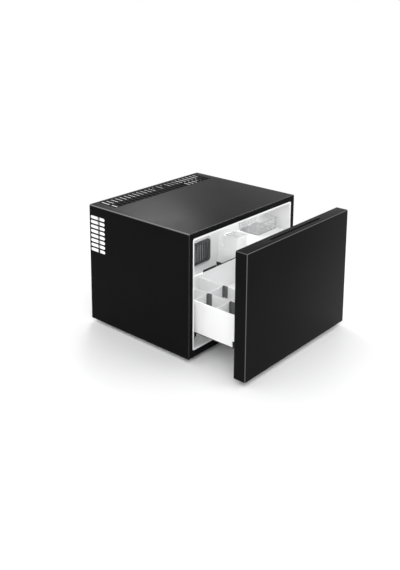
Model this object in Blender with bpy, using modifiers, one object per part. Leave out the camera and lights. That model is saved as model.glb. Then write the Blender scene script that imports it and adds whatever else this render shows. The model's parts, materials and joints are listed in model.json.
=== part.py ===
# A drawer minibar fridge: an insulated steel cabinet with a drawer that slides out of its front.
# Metres, +Z up, -Y is the front. The origin lies on the floor, under the centre of the whole
# object as it stands with its drawer partly out.

import bpy
import bmesh
from math import cos, pi, radians, sin, tan
from mathutils import Matrix, Vector

# Fits
GAP = 0.0003            # between neighbours that seat on each other
MERGE = 0.00001         # distance that counts as one point

# Cabinet
WIDTH = 0.549
HEIGHT = 0.417
CABINET_DEPTH = 0.4405
REAR_DEPTH = 0.1225             # from the cavity's back to the open rear, for the cooling unit
SHEET = 0.0012          # steel sheet of the wrap, base, bulkhead and posts
EDGE_RADIUS = 0.005     # folded top edges
FOOT_HEIGHT = 0.0135
FOOT_RADIUS = 0.010
FOOT_CHAMFER = 0.0015
FOOT_CHAMFER_HEIGHT = 0.002
FOOT_INSET_X = 0.0345
FOOT_INSET_FRONT = 0.024
FOOT_INSET_REAR = 0.0285
STUD_RADIUS = 0.003
STUD_RISE = 0.0045
STUD_PLAY = 0.0005

# Front frame and liner
FLANGE_SIDE = 0.018
FLANGE_TOP = 0.020
FLANGE_BOTTOM = 0.0235
FRAME_SHEET = 0.0015
FRAME_RETURN = 0.014
LINER_WALL = 0.002
LINER_CORNER = 0.006
LIP_WIDTH = 0.005
LIP_DEPTH = 0.008
REAR_FOAM = 0.0177

# Vents
SIDE_SLOTS = 8
SIDE_SLOT_PITCH = 0.016
SIDE_SLOT_HEIGHT = 0.0105
SIDE_SLOT_LENGTH = 0.068
SIDE_SLOT_REAR = 0.0045         # from the rear edge to the slots
SIDE_SLOT_TOP = 0.0412          # from the top to the middle of the first slot
VENT_FROM_SIDE = 0.029
VENT_FRONT_PLAY = 0.0025        # from the bulkhead to the grille's lip
VENT_REAR = 0.0065              # from the rear edge to the opening
VENT_THICKNESS = 0.006
VENT_LIP = 0.004
VENT_LIP_THICKNESS = 0.0015
VENT_SLOTS = 24
VENT_SLOT_PITCH = 0.020
VENT_SLOT_WIDTH = 0.0095
VENT_ROW_REAR = 0.042
VENT_BORDER = 0.004
VENT_RIB = 0.006                # rib between the two rows
BASE_SLOTS = 9
BASE_SLOT_WIDTH = 0.008
BASE_SLOT_LENGTH = 0.050

# Posts in the open rear
POST_LEG = 0.008
POST_FROM_SIDE = 0.015
POST_FROM_REAR = 0.0225

# Cooling unit
COOLING_HEIGHT = 0.164          # middle of the fans, above the floor
LOUVRE_WIDTH = 0.386
LOUVRE_HEIGHT = 0.084
LOUVRE_STANDOFF = 0.0115
LOUVRE_WALL = 0.002
LOUVRE_CORNER = 0.010
LOUVRE_SLOTS = 35
LOUVRE_SLOT_PITCH = 0.010
LOUVRE_SLOT_WIDTH = 0.005
LOUVRE_SLOT_HEIGHT = 0.064
BEZEL_BAND = 0.010
BEZEL_STANDOFF = 0.006
WINDOW_WIDTH = 0.200
WINDOW_HEIGHT = 0.074
MODULE_SIZE = 0.040
MODULE_THICKNESS = 0.0038
MODULE_HOLE = 0.046
COLD_SINK_WIDTH = 0.120
COLD_SINK_HEIGHT = 0.070
COLD_SINK_BASE = 0.004
COLD_FINS = 16
COLD_FIN = 0.0012
COLD_FAN_SIZE = 0.060
COLD_FAN_DEPTH = 0.010
COLD_FAN_BLADES = 7
COLD_FAN_TURN = radians(35)
HOT_SINK_SIZE = 0.140
HOT_SINK_BASE = 0.006
HOT_SINK_DEPTH = 0.036
HOT_FINS = 15
HOT_FIN = 0.0016
HOT_FAN_SIZE = 0.092
HOT_FAN_DEPTH = 0.025
HOT_FAN_BLADES = 7
HOT_FAN_TURN = radians(38)
FAN_WALL = 0.025                # fan shares from here, as parts of the fan's size
FAN_CORNER = 0.04
FAN_HUB = 0.2
FAN_STRUT = 0.05
FAN_BLADE = 0.014
FAN_BLADE_ROOT = 0.8            # blades start at this part of the hub's radius
FAN_CHORD = 1.25                # blade chord as a part of the hub's radius
FAN_CHORD_FILL = 0.92           # and the part of the hub's depth that it may fill
FAN_PLATE = 0.16                # strut plate as a part of the fan's depth
FAN_FRONT_PLAY = 0.06
SHROUD_WIDTH = 0.360
SHROUD_TOP = 0.392
SHROUD_BOTTOM = 0.085
SHROUD_WALL = 0.0018
SHROUD_INLET_RADIUS = 0.0423
GUARD_WIRE = 0.0011
GUARD_SPOKE_WIRE = 0.001
GUARD_RINGS = (0.012, 0.023, 0.034, 0.045)
GUARD_SPOKE = 0.050
BOX_WIDTH = 0.200
BOX_DEPTH = 0.087
BOX_HEIGHT = 0.055
BOX_EDGE = 0.002
INLET_OFFSET = 0.060
INLET_WIDTH = 0.034
INLET_HEIGHT = 0.024
INLET_DEPTH = 0.006
INLET_EDGE = 0.0012
SOCKET_WIDTH = 0.027
SOCKET_HEIGHT = 0.016
SOCKET_DEPTH = 0.0045
PIN_HEIGHT = 0.004
PIN_WIDTH = 0.002
PIN_PITCH = 0.007
PIN_RISE = 0.002                # middle pin up, outer pins down
PIN_LENGTH = 0.0036
PIN_ROOT = 0.0005
LENS_WIDTH = 0.060
LENS_DEPTH = 0.020
LENS_THICKNESS = 0.003
LENS_EDGE = 0.001
LENS_FROM_FRONT = 0.030

# Runners
RAIL_START = 0.012
RAIL_END_PLAY = 0.015           # from the rail to the cavity's back
RAIL_SHEET = 0.0015
RAIL_FLANGE_LOW = 0.058
RAIL_FLANGE_HIGH = 0.086
RAIL_SHELF = 0.070
RAIL_STANDOFF = 0.0267          # from the liner's wall to the upright web
RAIL_WEB_TOP = 0.106
SLIDE_SHEET = 0.0012
SLIDE_LEG_LOW = 0.083
SLIDE_INSET = 0.005             # the moving members start this far behind the fixed one
SLIDE_FLANGE = 0.0225           # from the web to the end of the flange under the basket
STOP_LENGTH = 0.005
STOP_LOW = 0.064
STOP_HIGH = 0.0885
STOP_PLAY = 0.0027              # from the stop to the liner's wall
DRAWER_OPEN = 0.170             # how far out the drawer stands here

# Door
DOOR_WIDTH = 0.5445
DOOR_BOTTOM = 0.0155
DOOR_TOP = 0.409
DOOR_THICKNESS = 0.0415
DOOR_CLEARANCE = 0.001          # door to cabinet when shut
DOOR_SKIN = 0.0015
DOOR_RADIUS = 0.004
DOOR_LINER_WALL = 0.0015
LEDGE_DEPTH = 0.0078            # floor of the gasket's seat, below the door's back edge
LEDGE_WIDTH = 0.027
PLUG_REACH = 0.010
PLUG_CORNER = 0.006
GASKET_WIDTH = 0.018
GASKET_CORNER = 0.006
TROUGH_LENGTH = 0.273
TROUGH_WIDTH = 0.012
TROUGH_DEPTH = 0.022
TROUGH_WALL = 0.0015
TROUGH_FROM_BACK = 0.013        # from the door's back edge to the groove
BRACKET_SHEET = 0.0015
BRACKET_WIDTH = 0.0165
BRACKET_REACH = 0.038
BRACKET_LOW = 0.060

# Basket
BASKET_SIDE_PLAY = 0.0167       # from the liner's wall to the basket, at its floor
BASKET_FRONT = 0.0172
BASKET_REAR_PLAY = 0.021        # from the basket to the cavity's back when shut
BASKET_WALL = 0.0025
BASKET_CORNER = 0.014
BASKET_TOP = 0.195
BASKET_TAPER = radians(2.0)
SKIRT_LOW = 0.090
SKIRT_INSET = 0.016
SKIRT_WALL = 0.00225
RIM_HEIGHT = 0.014
RIM_REACH = 0.0022
RIM_OVERLAP = 0.00175           # how far the rim runs into the wall
FLOOR_SLOT_LENGTH = 0.060
FLOOR_SLOT_WIDTH = 0.008
FLOOR_SLOT_COLUMNS = 5
FLOOR_SLOT_ROWS = 3
FLOOR_SLOT_FROM_SIDE = 0.0815   # from the basket's side to the middle of the outermost slot
FLOOR_SLOT_PITCH_Y = 0.085

# Dividers
DIVIDER_THICKNESS = 0.002
DIVIDER_TOP = 0.187
CELL_FIRST = 0.0798             # from the basket's left side to the first divider
CELL_WIDTH = 0.0789
CROSS_DIVIDERS_Y = (0.104, 0.194)
CLIP_LENGTH = 0.017
CLIP_SHORT_LEG = 0.007
CLIP_THICKNESS = 0.003
CLIP_EDGE = 0.0006
CLIP_LOW = 0.150
CLIP_TOP = 0.189

# Trays on their bridge
BRIDGE_LEFT = -0.0365
BRIDGE_SIDE_PLAY = 0.006        # from the bridge to the basket's side, at its floor
BRIDGE_WALL = 0.0025
BRIDGE_EDGE = 0.0011
BRIDGE_TOP = 0.300
BRIDGE_FRONT = 0.170
BRIDGE_MARGIN = 0.003           # from a tray to the edge of the shelf
BRIDGE_LEG = 0.010              # each side of the front left post
BRIDGE_CORNER = 0.004           # cut off the angle's corner, clear of the basket's round corner
BRIDGE_REAR_PLAY = 0.005
SNACK_WIDTH = 0.052
SNACK_LENGTH = 0.061
TRAY_HEIGHT = 0.038
SNACK_POCKETS = 3
SNACK_WALL = 0.0035
SNACK_CORNER = 0.005
POCKET_FLAT = 0.0009            # half of the flat left at a pocket's round end
CLEAR_LEFT = 0.117
CLEAR_FRONT = 0.206
CLEAR_WALL = 0.002
CLEAR_CORNER = 0.010

# Worked out from the sizes above
LINER_DEPTH = CABINET_DEPTH - REAR_DEPTH
FRONT_Y = (DRAWER_OPEN + DOOR_CLEARANCE + DOOR_THICKNESS - CABINET_DEPTH) / 2
INSIDE_X = WIDTH / 2 - SHEET - GAP
BASE_TOP = FOOT_HEIGHT + SHEET
INSIDE_LOW = BASE_TOP + GAP
INSIDE_TOP = HEIGHT - SHEET - GAP
MOUTH_X = WIDTH / 2 - FLANGE_SIDE
MOUTH_LOW = FOOT_HEIGHT + FLANGE_BOTTOM
MOUTH_TOP = HEIGHT - FLANGE_TOP
LINER_X = MOUTH_X - GAP
LINER_INSIDE_X = LINER_X - LINER_WALL
LINER_CEILING = MOUTH_TOP - GAP - LINER_WALL
LINER_BACK = LINER_DEPTH + LINER_WALL
FOAM_REAR = LINER_BACK + GAP + REAR_FOAM
BULKHEAD_FRONT = FOAM_REAR + GAP
BULKHEAD_REAR = BULKHEAD_FRONT + SHEET
LOUVRE_FRONT = LINER_DEPTH - LOUVRE_STANDOFF
COLD_FAN_FRONT = LOUVRE_FRONT + LOUVRE_WALL + GAP
COLD_FAN_REAR = COLD_FAN_FRONT + COLD_FAN_DEPTH
MODULE_REAR = BULKHEAD_REAR
MODULE_FRONT = MODULE_REAR - MODULE_THICKNESS
COLD_SINK_REAR = MODULE_FRONT - GAP
VENT_WIDTH = WIDTH - 2 * VENT_FROM_SIDE
VENT_FRONT = BULKHEAD_REAR + VENT_FRONT_PLAY + VENT_LIP
VENT_BACK = CABINET_DEPTH - VENT_REAR
VENT_ROW_FRONT = VENT_BACK - VENT_FRONT - VENT_ROW_REAR - VENT_RIB - 2 * VENT_BORDER
HOT_SINK_FRONT = BULKHEAD_REAR + GAP
HOT_SINK_REAR = HOT_SINK_FRONT + HOT_SINK_DEPTH
HOT_FAN_FRONT = HOT_SINK_REAR + GAP
HOT_FAN_REAR = HOT_FAN_FRONT + HOT_FAN_DEPTH
SHROUD_REAR = HOT_FAN_REAR + GAP + SHROUD_WALL
RAIL_LENGTH = LINER_DEPTH - RAIL_START - RAIL_END_PLAY
RAIL_WEB_X = LINER_INSIDE_X - RAIL_STANDOFF
STOP_OUTER_X = LINER_INSIDE_X - STOP_PLAY
SLIDE_FLANGE_X = RAIL_WEB_X - SLIDE_FLANGE
SLIDE_MIDDLE_TOP = RAIL_WEB_TOP + GAP + SLIDE_SHEET
SLIDE_INNER_TOP = SLIDE_MIDDLE_TOP + GAP + SLIDE_SHEET
BASKET_LOW = SLIDE_INNER_TOP + GAP
BASKET_FLOOR = BASKET_LOW + BASKET_WALL
BASKET_HALF_WIDTH = LINER_INSIDE_X - BASKET_SIDE_PLAY
BASKET_REAR = LINER_DEPTH - BASKET_REAR_PLAY
FLOOR_SLOT_PITCH_X = 2 * (BASKET_HALF_WIDTH - FLOOR_SLOT_FROM_SIDE) / (FLOOR_SLOT_COLUMNS - 1)
FIRST_DIVIDER_X = CELL_FIRST - BASKET_HALF_WIDTH
LONG_DIVIDERS_X = (FIRST_DIVIDER_X, FIRST_DIVIDER_X + CELL_WIDTH)
BRIDGE_RIGHT = BASKET_HALF_WIDTH - BRIDGE_SIDE_PLAY
BRIDGE_REAR = BASKET_REAR - BRIDGE_REAR_PLAY
SNACK_FRONT = BRIDGE_FRONT + BRIDGE_MARGIN
DOOR_BACK = -DOOR_CLEARANCE
DOOR_FRONT = DOOR_BACK - DOOR_THICKNESS
DOOR_LEDGE = DOOR_BACK - LEDGE_DEPTH
TRAY_LOW = BRIDGE_TOP + GAP
TRAY_TOP = TRAY_LOW + TRAY_HEIGHT

for old in list(bpy.data.objects):
    bpy.data.objects.remove(old, do_unlink=True)

parts = bpy.data.collections.new("drawer_minibar_fridge")
cutters = bpy.data.collections.new("cutters")
bpy.context.scene.collection.children.link(parts)
bpy.context.scene.collection.children.link(cutters)


def make_material(name, colour, roughness, metallic=0.0, alpha=1.0):
    material = bpy.data.materials.new(name)
    material.use_nodes = True
    shader = material.node_tree.nodes["Principled BSDF"]
    shader.inputs["Base Color"].default_value = (*colour, 1.0)
    shader.inputs["Roughness"].default_value = roughness
    shader.inputs["Metallic"].default_value = metallic
    shader.inputs["Alpha"].default_value = alpha
    return material


black_paint = make_material("black paint", (0.012, 0.012, 0.013), 0.32)
black_plastic = make_material("black plastic", (0.015, 0.015, 0.016), 0.5)
dark_plastic = make_material("dark grey plastic", (0.035, 0.036, 0.04), 0.5)
white_plastic = make_material("white plastic", (0.82, 0.83, 0.84), 0.35)
clear_plastic = make_material("clear plastic", (0.85, 0.88, 0.9), 0.08, alpha=0.35)
pale_foam = make_material("insulation foam", (0.75, 0.68, 0.5), 0.9)
zinc_steel = make_material("galvanised steel", (0.5, 0.51, 0.52), 0.4, 1.0)
black_steel = make_material("black steel", (0.02, 0.02, 0.022), 0.35, 0.6)
aluminium = make_material("aluminium", (0.62, 0.63, 0.65), 0.35, 1.0)
ceramic = make_material("ceramic plate", (0.85, 0.85, 0.82), 0.6)
rubber = make_material("rubber", (0.02, 0.02, 0.02), 0.8)
soft_vinyl = make_material("gasket vinyl", (0.03, 0.03, 0.032), 0.65)


def frame_empty(name, location, parent=None):
    empty = bpy.data.objects.new(name, None)
    empty.location = location
    empty.parent = parent
    parts.objects.link(empty)
    return empty


cabinet = frame_empty("cabinet_frame", (0, FRONT_Y, 0))
drawer = frame_empty("drawer_frame", (0, FRONT_Y - DRAWER_OPEN, 0))
slide_middle = frame_empty("slide_middle_frame", (0, FRONT_Y - DRAWER_OPEN / 2, 0))


# Places a new object in its collection, under its frame, with its material.
def place(obj, name, frame, material=None):
    obj.name = name
    obj.parent = frame
    for collection in list(obj.users_collection):
        collection.objects.unlink(obj)
    if material is None:
        cutters.objects.link(obj)
        obj.hide_render = True
        obj.display_type = "WIRE"
    else:
        parts.objects.link(obj)
        obj.data.materials.clear()
        obj.data.materials.append(material)
    return obj


def block(name, x, y, z, frame, material=None):
    centre = ((x[0] + x[1]) / 2, (y[0] + y[1]) / 2, (z[0] + z[1]) / 2)
    bpy.ops.mesh.primitive_cube_add(size=1, location=centre)
    obj = bpy.context.object
    obj.data.transform(Matrix.Diagonal((x[1] - x[0], y[1] - y[0], z[1] - z[0], 1)))
    return place(obj, name, frame, material)


# A cylinder whose axis runs along "X", "Y" or "Z".
def cylinder(name, radius, length, centre, axis, frame, material=None, sides=32):
    bpy.ops.mesh.primitive_cylinder_add(vertices=sides, radius=radius, depth=length, location=centre)
    obj = bpy.context.object
    if axis == "X":
        obj.data.transform(Matrix.Rotation(pi / 2, 4, "Y"))
    if axis == "Y":
        obj.data.transform(Matrix.Rotation(pi / 2, 4, "X"))
    smooth(obj)
    return place(obj, name, frame, material)


def smooth(obj):
    obj.data.shade_smooth()
    obj.data.set_sharp_from_angle(angle=radians(35))


# Local axes of an outline: "XY" lies flat, "XZ" stands across the width, "YZ" stands along the depth.
OUTLINE_TURNS = {"XY": (0, 0, 0), "XZ": (pi / 2, 0, 0), "YZ": (pi / 2, 0, pi / 2)}
OUTLINE_SHIFTS = {"XY": (0, 0, 1), "XZ": (0, 1, 0), "YZ": (1, 0, 0)}


# A flat outline, with holes if there are more loops, from start to end along its plane's normal.
def outline_solid(name, loops, plane, start, end, frame, material=None):
    curve = bpy.data.curves.new(name, "CURVE")
    curve.dimensions = "2D"
    curve.fill_mode = "BOTH"
    curve.extrude = (end - start) / 2
    for loop in loops:
        spline = curve.splines.new("POLY")
        spline.points.add(len(loop) - 1)
        for point, corner in zip(spline.points, loop):
            point.co = (corner[0], corner[1], 0, 1)
        spline.use_cyclic_u = True
    guide = bpy.data.objects.new(name, curve)
    guide.rotation_euler = OUTLINE_TURNS[plane]
    guide.location = Vector(OUTLINE_SHIFTS[plane]) * (start + end) / 2
    bpy.context.scene.collection.objects.link(guide)
    bpy.context.view_layer.update()
    filled = guide.evaluated_get(bpy.context.evaluated_depsgraph_get())
    mesh = bpy.data.meshes.new_from_object(filled)
    solid = bmesh.new()
    solid.from_mesh(mesh)
    bmesh.ops.remove_doubles(solid, verts=solid.verts, dist=MERGE)
    bmesh.ops.recalc_face_normals(solid, faces=solid.faces)
    solid.to_mesh(mesh)
    solid.free()
    obj = bpy.data.objects.new(name, mesh)
    obj.matrix_world = guide.matrix_world
    parts.objects.link(obj)
    bpy.data.objects.remove(guide)
    smooth(obj)
    return place(obj, name, frame, material)


def rectangle(x, y):
    return [(x[0], y[0]), (x[1], y[0]), (x[1], y[1]), (x[0], y[1])]


# A rectangle with round corners, the corners in the order of rectangle().
def rounded(x, y, radius, steps=4):
    corners = [
        (x[0] + radius, y[0] + radius, pi),
        (x[1] - radius, y[0] + radius, 1.5 * pi),
        (x[1] - radius, y[1] - radius, 0.0),
        (x[0] + radius, y[1] - radius, 0.5 * pi),
    ]
    points = []
    for centre_x, centre_y, first in corners:
        for step in range(steps + 1):
            angle = first + step * pi / 2 / steps
            points.append((centre_x + radius * cos(angle), centre_y + radius * sin(angle)))
    return points


# A slot with round ends, lying along its first axis.
def slot_outline(centre, length, width, steps=4):
    radius = width / 2
    points = []
    for side, first in ((1, -pi / 2), (-1, pi / 2)):
        for step in range(steps + 1):
            angle = first + step * pi / steps
            points.append((
                centre[0] + side * (length / 2 - radius) + radius * cos(angle),
                centre[1] + radius * sin(angle),
            ))
    return points


def boolean(obj, other, operation):
    modifier = obj.modifiers.new(other.name, "BOOLEAN")
    modifier.operation = operation
    modifier.object = other


def cut(obj, other):
    boolean(obj, other, "DIFFERENCE")


def join(obj, other):
    boolean(obj, other, "UNION")


def bevel(obj, width, segments=3, angle=30):
    modifier = obj.modifiers.new("rounded edges", "BEVEL")
    modifier.width = width
    modifier.segments = segments
    modifier.limit_method = "ANGLE"
    modifier.angle_limit = radians(angle)


def solidify(obj, thickness, offset=-1):
    modifier = obj.modifiers.new("wall", "SOLIDIFY")
    modifier.thickness = thickness
    modifier.offset = offset
    modifier.use_even_offset = True


# One mesh of several boxes that don't touch, for use as one cutter.
def block_row(name, boxes, frame):
    cells = bmesh.new()
    for x, y, z in boxes:
        size = Matrix.Diagonal((x[1] - x[0], y[1] - y[0], z[1] - z[0], 1))
        middle = Matrix.Translation(((x[0] + x[1]) / 2, (y[0] + y[1]) / 2, (z[0] + z[1]) / 2))
        bmesh.ops.create_cube(cells, size=1, matrix=middle @ size)
    mesh = bpy.data.meshes.new(name)
    cells.to_mesh(mesh)
    cells.free()
    obj = bpy.data.objects.new(name, mesh)
    parts.objects.link(obj)
    return place(obj, name, frame)


# An open box with one side missing: "front", "back" or "top". Its walls grow inwards.
def open_box(name, x, y, z, missing, frame, material):
    obj = block(name, x, y, z, frame, material)
    directions = {"front": Vector((0, -1, 0)), "back": Vector((0, 1, 0)), "top": Vector((0, 0, 1))}
    faces = bmesh.new()
    faces.from_mesh(obj.data)
    gone = [face for face in faces.faces if face.normal.dot(directions[missing]) > 0.9]
    bmesh.ops.delete(faces, geom=gone, context="FACES")
    faces.to_mesh(obj.data)
    faces.free()
    return obj


# Cabinet


def wrap_outline():
    half = WIDTH / 2
    points = [(-half, FOOT_HEIGHT)]
    steps = 4
    for side, first in ((-1, pi), (1, pi / 2)):
        for step in range(steps + 1):
            angle = first - step * pi / 2 / steps
            x = side * (half - EDGE_RADIUS) + EDGE_RADIUS * cos(angle)
            points.append((x, HEIGHT - EDGE_RADIUS + EDGE_RADIUS * sin(angle)))
    points.append((half, FOOT_HEIGHT))
    return points


def make_wrap():
    fold = bmesh.new()
    verts = [fold.verts.new((x, 0, z)) for x, z in wrap_outline()]
    edges = [fold.edges.new(pair) for pair in zip(verts, verts[1:])]
    swept = bmesh.ops.extrude_edge_only(fold, edges=edges)
    moved = [item for item in swept["geom"] if isinstance(item, bmesh.types.BMVert)]
    bmesh.ops.translate(fold, verts=moved, vec=(0, CABINET_DEPTH, 0))
    bmesh.ops.recalc_face_normals(fold, faces=fold.faces)
    mesh = bpy.data.meshes.new("outer_wrap")
    fold.to_mesh(mesh)
    fold.free()
    wrap = bpy.data.objects.new("outer_wrap", mesh)
    parts.objects.link(wrap)
    smooth(wrap)
    place(wrap, "outer_wrap", cabinet, black_paint)
    solidify(wrap, SHEET)
    middle_y = CABINET_DEPTH - SIDE_SLOT_REAR - SIDE_SLOT_LENGTH / 2
    reach = WIDTH / 2 + SHEET
    for index in range(SIDE_SLOTS):
        z = HEIGHT - SIDE_SLOT_TOP - index * SIDE_SLOT_PITCH
        outline = slot_outline((middle_y, z), SIDE_SLOT_LENGTH, SIDE_SLOT_HEIGHT)
        cut(wrap, outline_solid(f"side_slot_{index + 1}", [outline], "YZ", -reach, reach, cabinet))
    opening = block(
        "vent_opening", (-VENT_WIDTH / 2, VENT_WIDTH / 2), (VENT_FRONT, VENT_BACK),
        (HEIGHT - 4 * SHEET, HEIGHT + SHEET), cabinet)
    cut(wrap, opening)


def make_vent_grille():
    front = VENT_FRONT
    rear = VENT_BACK
    half = VENT_WIDTH / 2
    grille = block(
        "vent_grille", (-half + GAP, half - GAP), (front + GAP, rear - GAP),
        (HEIGHT - VENT_THICKNESS, HEIGHT), cabinet, black_plastic)
    lip_top = HEIGHT - SHEET - GAP
    lip = block(
        "vent_lip", (-half - VENT_LIP, half + VENT_LIP), (front - VENT_LIP, rear + VENT_LIP),
        (lip_top - VENT_LIP_THICKNESS, lip_top), cabinet)
    join(grille, lip)
    rear_row = (rear - VENT_BORDER - VENT_ROW_REAR, rear - VENT_BORDER)
    front_row = (rear_row[0] - VENT_RIB - VENT_ROW_FRONT, rear_row[0] - VENT_RIB)
    through = (HEIGHT - 2 * VENT_THICKNESS, HEIGHT + VENT_THICKNESS)
    slots = []
    for index in range(VENT_SLOTS):
        middle = (index - (VENT_SLOTS - 1) / 2) * VENT_SLOT_PITCH
        across = (middle - VENT_SLOT_WIDTH / 2, middle + VENT_SLOT_WIDTH / 2)
        slots.append((across, rear_row, through))
        slots.append((across, front_row, through))
    cut(grille, block_row("vent_slots", slots, cabinet))


def make_front_frame():
    outer = rounded((-INSIDE_X, INSIDE_X), (INSIDE_LOW, INSIDE_TOP), EDGE_RADIUS - SHEET)
    mouth = rounded((-MOUTH_X, MOUTH_X), (MOUTH_LOW, MOUTH_TOP), LINER_CORNER)
    frame = outline_solid(
        "front_frame", [outer, mouth], "XZ", 0, FRAME_RETURN, cabinet, black_paint)
    inset = FRAME_SHEET
    pocket = rounded(
        (-INSIDE_X + inset, INSIDE_X - inset), (INSIDE_LOW + inset, INSIDE_TOP - inset),
        EDGE_RADIUS - SHEET - inset)
    cut(frame, outline_solid("frame_pocket", [pocket], "XZ", FRAME_SHEET, 2 * FRAME_RETURN, cabinet))


def make_liner():
    liner = open_box(
        "inner_liner", (-LINER_X, LINER_X), (GAP, LINER_BACK), (MOUTH_LOW + GAP, MOUTH_TOP - GAP),
        "front", cabinet, white_plastic)
    bevel(liner, LINER_CORNER, 4)
    solidify(liner, LINER_WALL)
    smooth(liner)
    tuck = LINER_WALL / 4
    outer = rounded(
        (-LINER_X + tuck, LINER_X - tuck), (MOUTH_LOW + GAP + tuck, MOUTH_TOP - GAP - tuck),
        LINER_CORNER - tuck)
    inner = rounded(
        (-LINER_X + LIP_WIDTH, LINER_X - LIP_WIDTH),
        (MOUTH_LOW + GAP + LIP_WIDTH, MOUTH_TOP - GAP - LIP_WIDTH), LINER_CORNER / 2)
    join(liner, outline_solid("liner_lip", [outer, inner], "XZ", 0, LIP_DEPTH, cabinet))
    cut(liner, window_cutter("liner_window", LINER_DEPTH - LINER_WALL, LINER_BACK + LINER_WALL))


def window_cutter(name, start, end):
    half_x = WINDOW_WIDTH / 2
    half_z = WINDOW_HEIGHT / 2
    return block(
        name, (-half_x, half_x), (start, end), (COOLING_HEIGHT - half_z, COOLING_HEIGHT + half_z), cabinet)


def foot_places():
    x = WIDTH / 2 - FOOT_INSET_X
    front = FOOT_INSET_FRONT
    rear = CABINET_DEPTH - FOOT_INSET_REAR
    return [(-x, front), (x, front), (-x, rear), (x, rear)]


def make_insulation():
    foam = block(
        "insulation", (-INSIDE_X, INSIDE_X), (FRAME_RETURN + GAP, FOAM_REAR), (INSIDE_LOW, INSIDE_TOP),
        cabinet, pale_foam)
    bevel(foam, EDGE_RADIUS - SHEET)
    step = FRAME_SHEET + GAP
    outer = rounded(
        (-INSIDE_X + step, INSIDE_X - step), (INSIDE_LOW + step, INSIDE_TOP - step),
        EDGE_RADIUS - SHEET - FRAME_SHEET)
    join(foam, outline_solid("foam_front", [outer], "XZ", step, 2 * FRAME_RETURN, cabinet))
    cavity = block(
        "foam_cavity", (-MOUTH_X, MOUTH_X), (-LINER_DEPTH / 2, LINER_BACK + GAP), (MOUTH_LOW, MOUTH_TOP),
        cabinet)
    bevel(cavity, LINER_CORNER, 4)
    cut(foam, cavity)
    cut(foam, window_cutter("foam_window", LINER_DEPTH, FOAM_REAR + REAR_FOAM))
    for index, (x, y) in enumerate(foot_places()[:2]):
        relief = cylinder(
            f"foam_relief_{index + 1}", 2 * STUD_RADIUS, 2 * (STUD_RISE + GAP), (x, y, BASE_TOP), "Z", cabinet,
            sides=16)
        cut(foam, relief)


def make_bulkhead():
    outer = rounded((-INSIDE_X, INSIDE_X), (INSIDE_LOW, INSIDE_TOP), EDGE_RADIUS - SHEET)
    half = MODULE_HOLE / 2
    hole = rectangle((-half, half), (COOLING_HEIGHT - half, COOLING_HEIGHT + half))
    outline_solid(
        "rear_bulkhead", [outer, hole], "XZ", BULKHEAD_FRONT, BULKHEAD_REAR, cabinet, zinc_steel)


def make_base():
    loops = [rectangle((-INSIDE_X, INSIDE_X), (0, CABINET_DEPTH))]
    for x, y in foot_places():
        loops.append(slot_outline((x, y), 2 * (STUD_RADIUS + STUD_PLAY), 2 * (STUD_RADIUS + STUD_PLAY)))
    for side in (-1, 1):
        for index in range(BASE_SLOTS):
            x = side * (BOX_WIDTH / 2 + BASE_SLOT_WIDTH) + side * index * BASE_SLOT_WIDTH * 2
            if abs(x) > WIDTH / 2 - FOOT_INSET_X - 2 * FOOT_RADIUS:
                continue
            middle = (BULKHEAD_REAR + CABINET_DEPTH) / 2
            across = (x - BASE_SLOT_WIDTH / 2, x + BASE_SLOT_WIDTH / 2)
            loops.append(rectangle(across, (middle - BASE_SLOT_LENGTH / 2, middle + BASE_SLOT_LENGTH / 2)))
    outline_solid("base_plate", loops, "XY", FOOT_HEIGHT, BASE_TOP, cabinet, zinc_steel)


def make_feet():
    seat = FOOT_HEIGHT - GAP
    top = BASE_TOP + STUD_RISE
    profile = [
        (0, top), (STUD_RADIUS, top), (STUD_RADIUS, seat), (FOOT_RADIUS, seat),
        (FOOT_RADIUS, FOOT_CHAMFER_HEIGHT), (FOOT_RADIUS - FOOT_CHAMFER, 0), (0, 0),
    ]
    for index, (x, y) in enumerate(foot_places()):
        turned("foot_%d" % (index + 1), profile, (x, y, 0), cabinet, rubber, 24)


# A profile of (radius, height) turned about Z through the given point.
def turned(name, profile, location, frame, material, steps):
    line = bmesh.new()
    verts = [line.verts.new((radius, 0, z)) for radius, z in profile]
    for pair in zip(verts, verts[1:]):
        line.edges.new(pair)
    mesh = bpy.data.meshes.new(name)
    line.to_mesh(mesh)
    line.free()
    obj = bpy.data.objects.new(name, mesh)
    obj.location = location
    parts.objects.link(obj)
    screw = obj.modifiers.new("turned", "SCREW")
    screw.steps = steps
    screw.render_steps = steps
    screw.use_merge_vertices = True
    screw.merge_threshold = MERGE
    screw.use_smooth_shade = False
    return place(obj, name, frame, material)


def make_posts():
    for side, word in ((-1, "left"), (1, "right")):
        outer = WIDTH / 2 - POST_FROM_SIDE
        rear = CABINET_DEPTH - POST_FROM_REAR
        outline = [
            (side * outer, rear - POST_LEG), (side * outer, rear), (side * (outer - POST_LEG), rear),
            (side * (outer - POST_LEG), rear - SHEET), (side * (outer - SHEET), rear - SHEET),
            (side * (outer - SHEET), rear - POST_LEG),
        ]
        outline_solid(
            f"rear_post_{word}", [outline], "XY", INSIDE_LOW, INSIDE_TOP, cabinet, zinc_steel)


# Cooling unit


# A finned sink seen from above: a base along X with fins that run to tip_y.
def comb_outline(width, base_y, root_y, tip_y, count, fin):
    pitch = (width - fin) / (count - 1)
    points = [(-width / 2, base_y)]
    for index in range(count):
        left = -width / 2 + index * pitch
        points.append((left, root_y))
        points.append((left, tip_y))
        points.append((left + fin, tip_y))
        points.append((left + fin, root_y))
    points.append((width / 2, base_y))
    return [point for index, point in enumerate(points) if index not in (1, len(points) - 2)]


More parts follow.
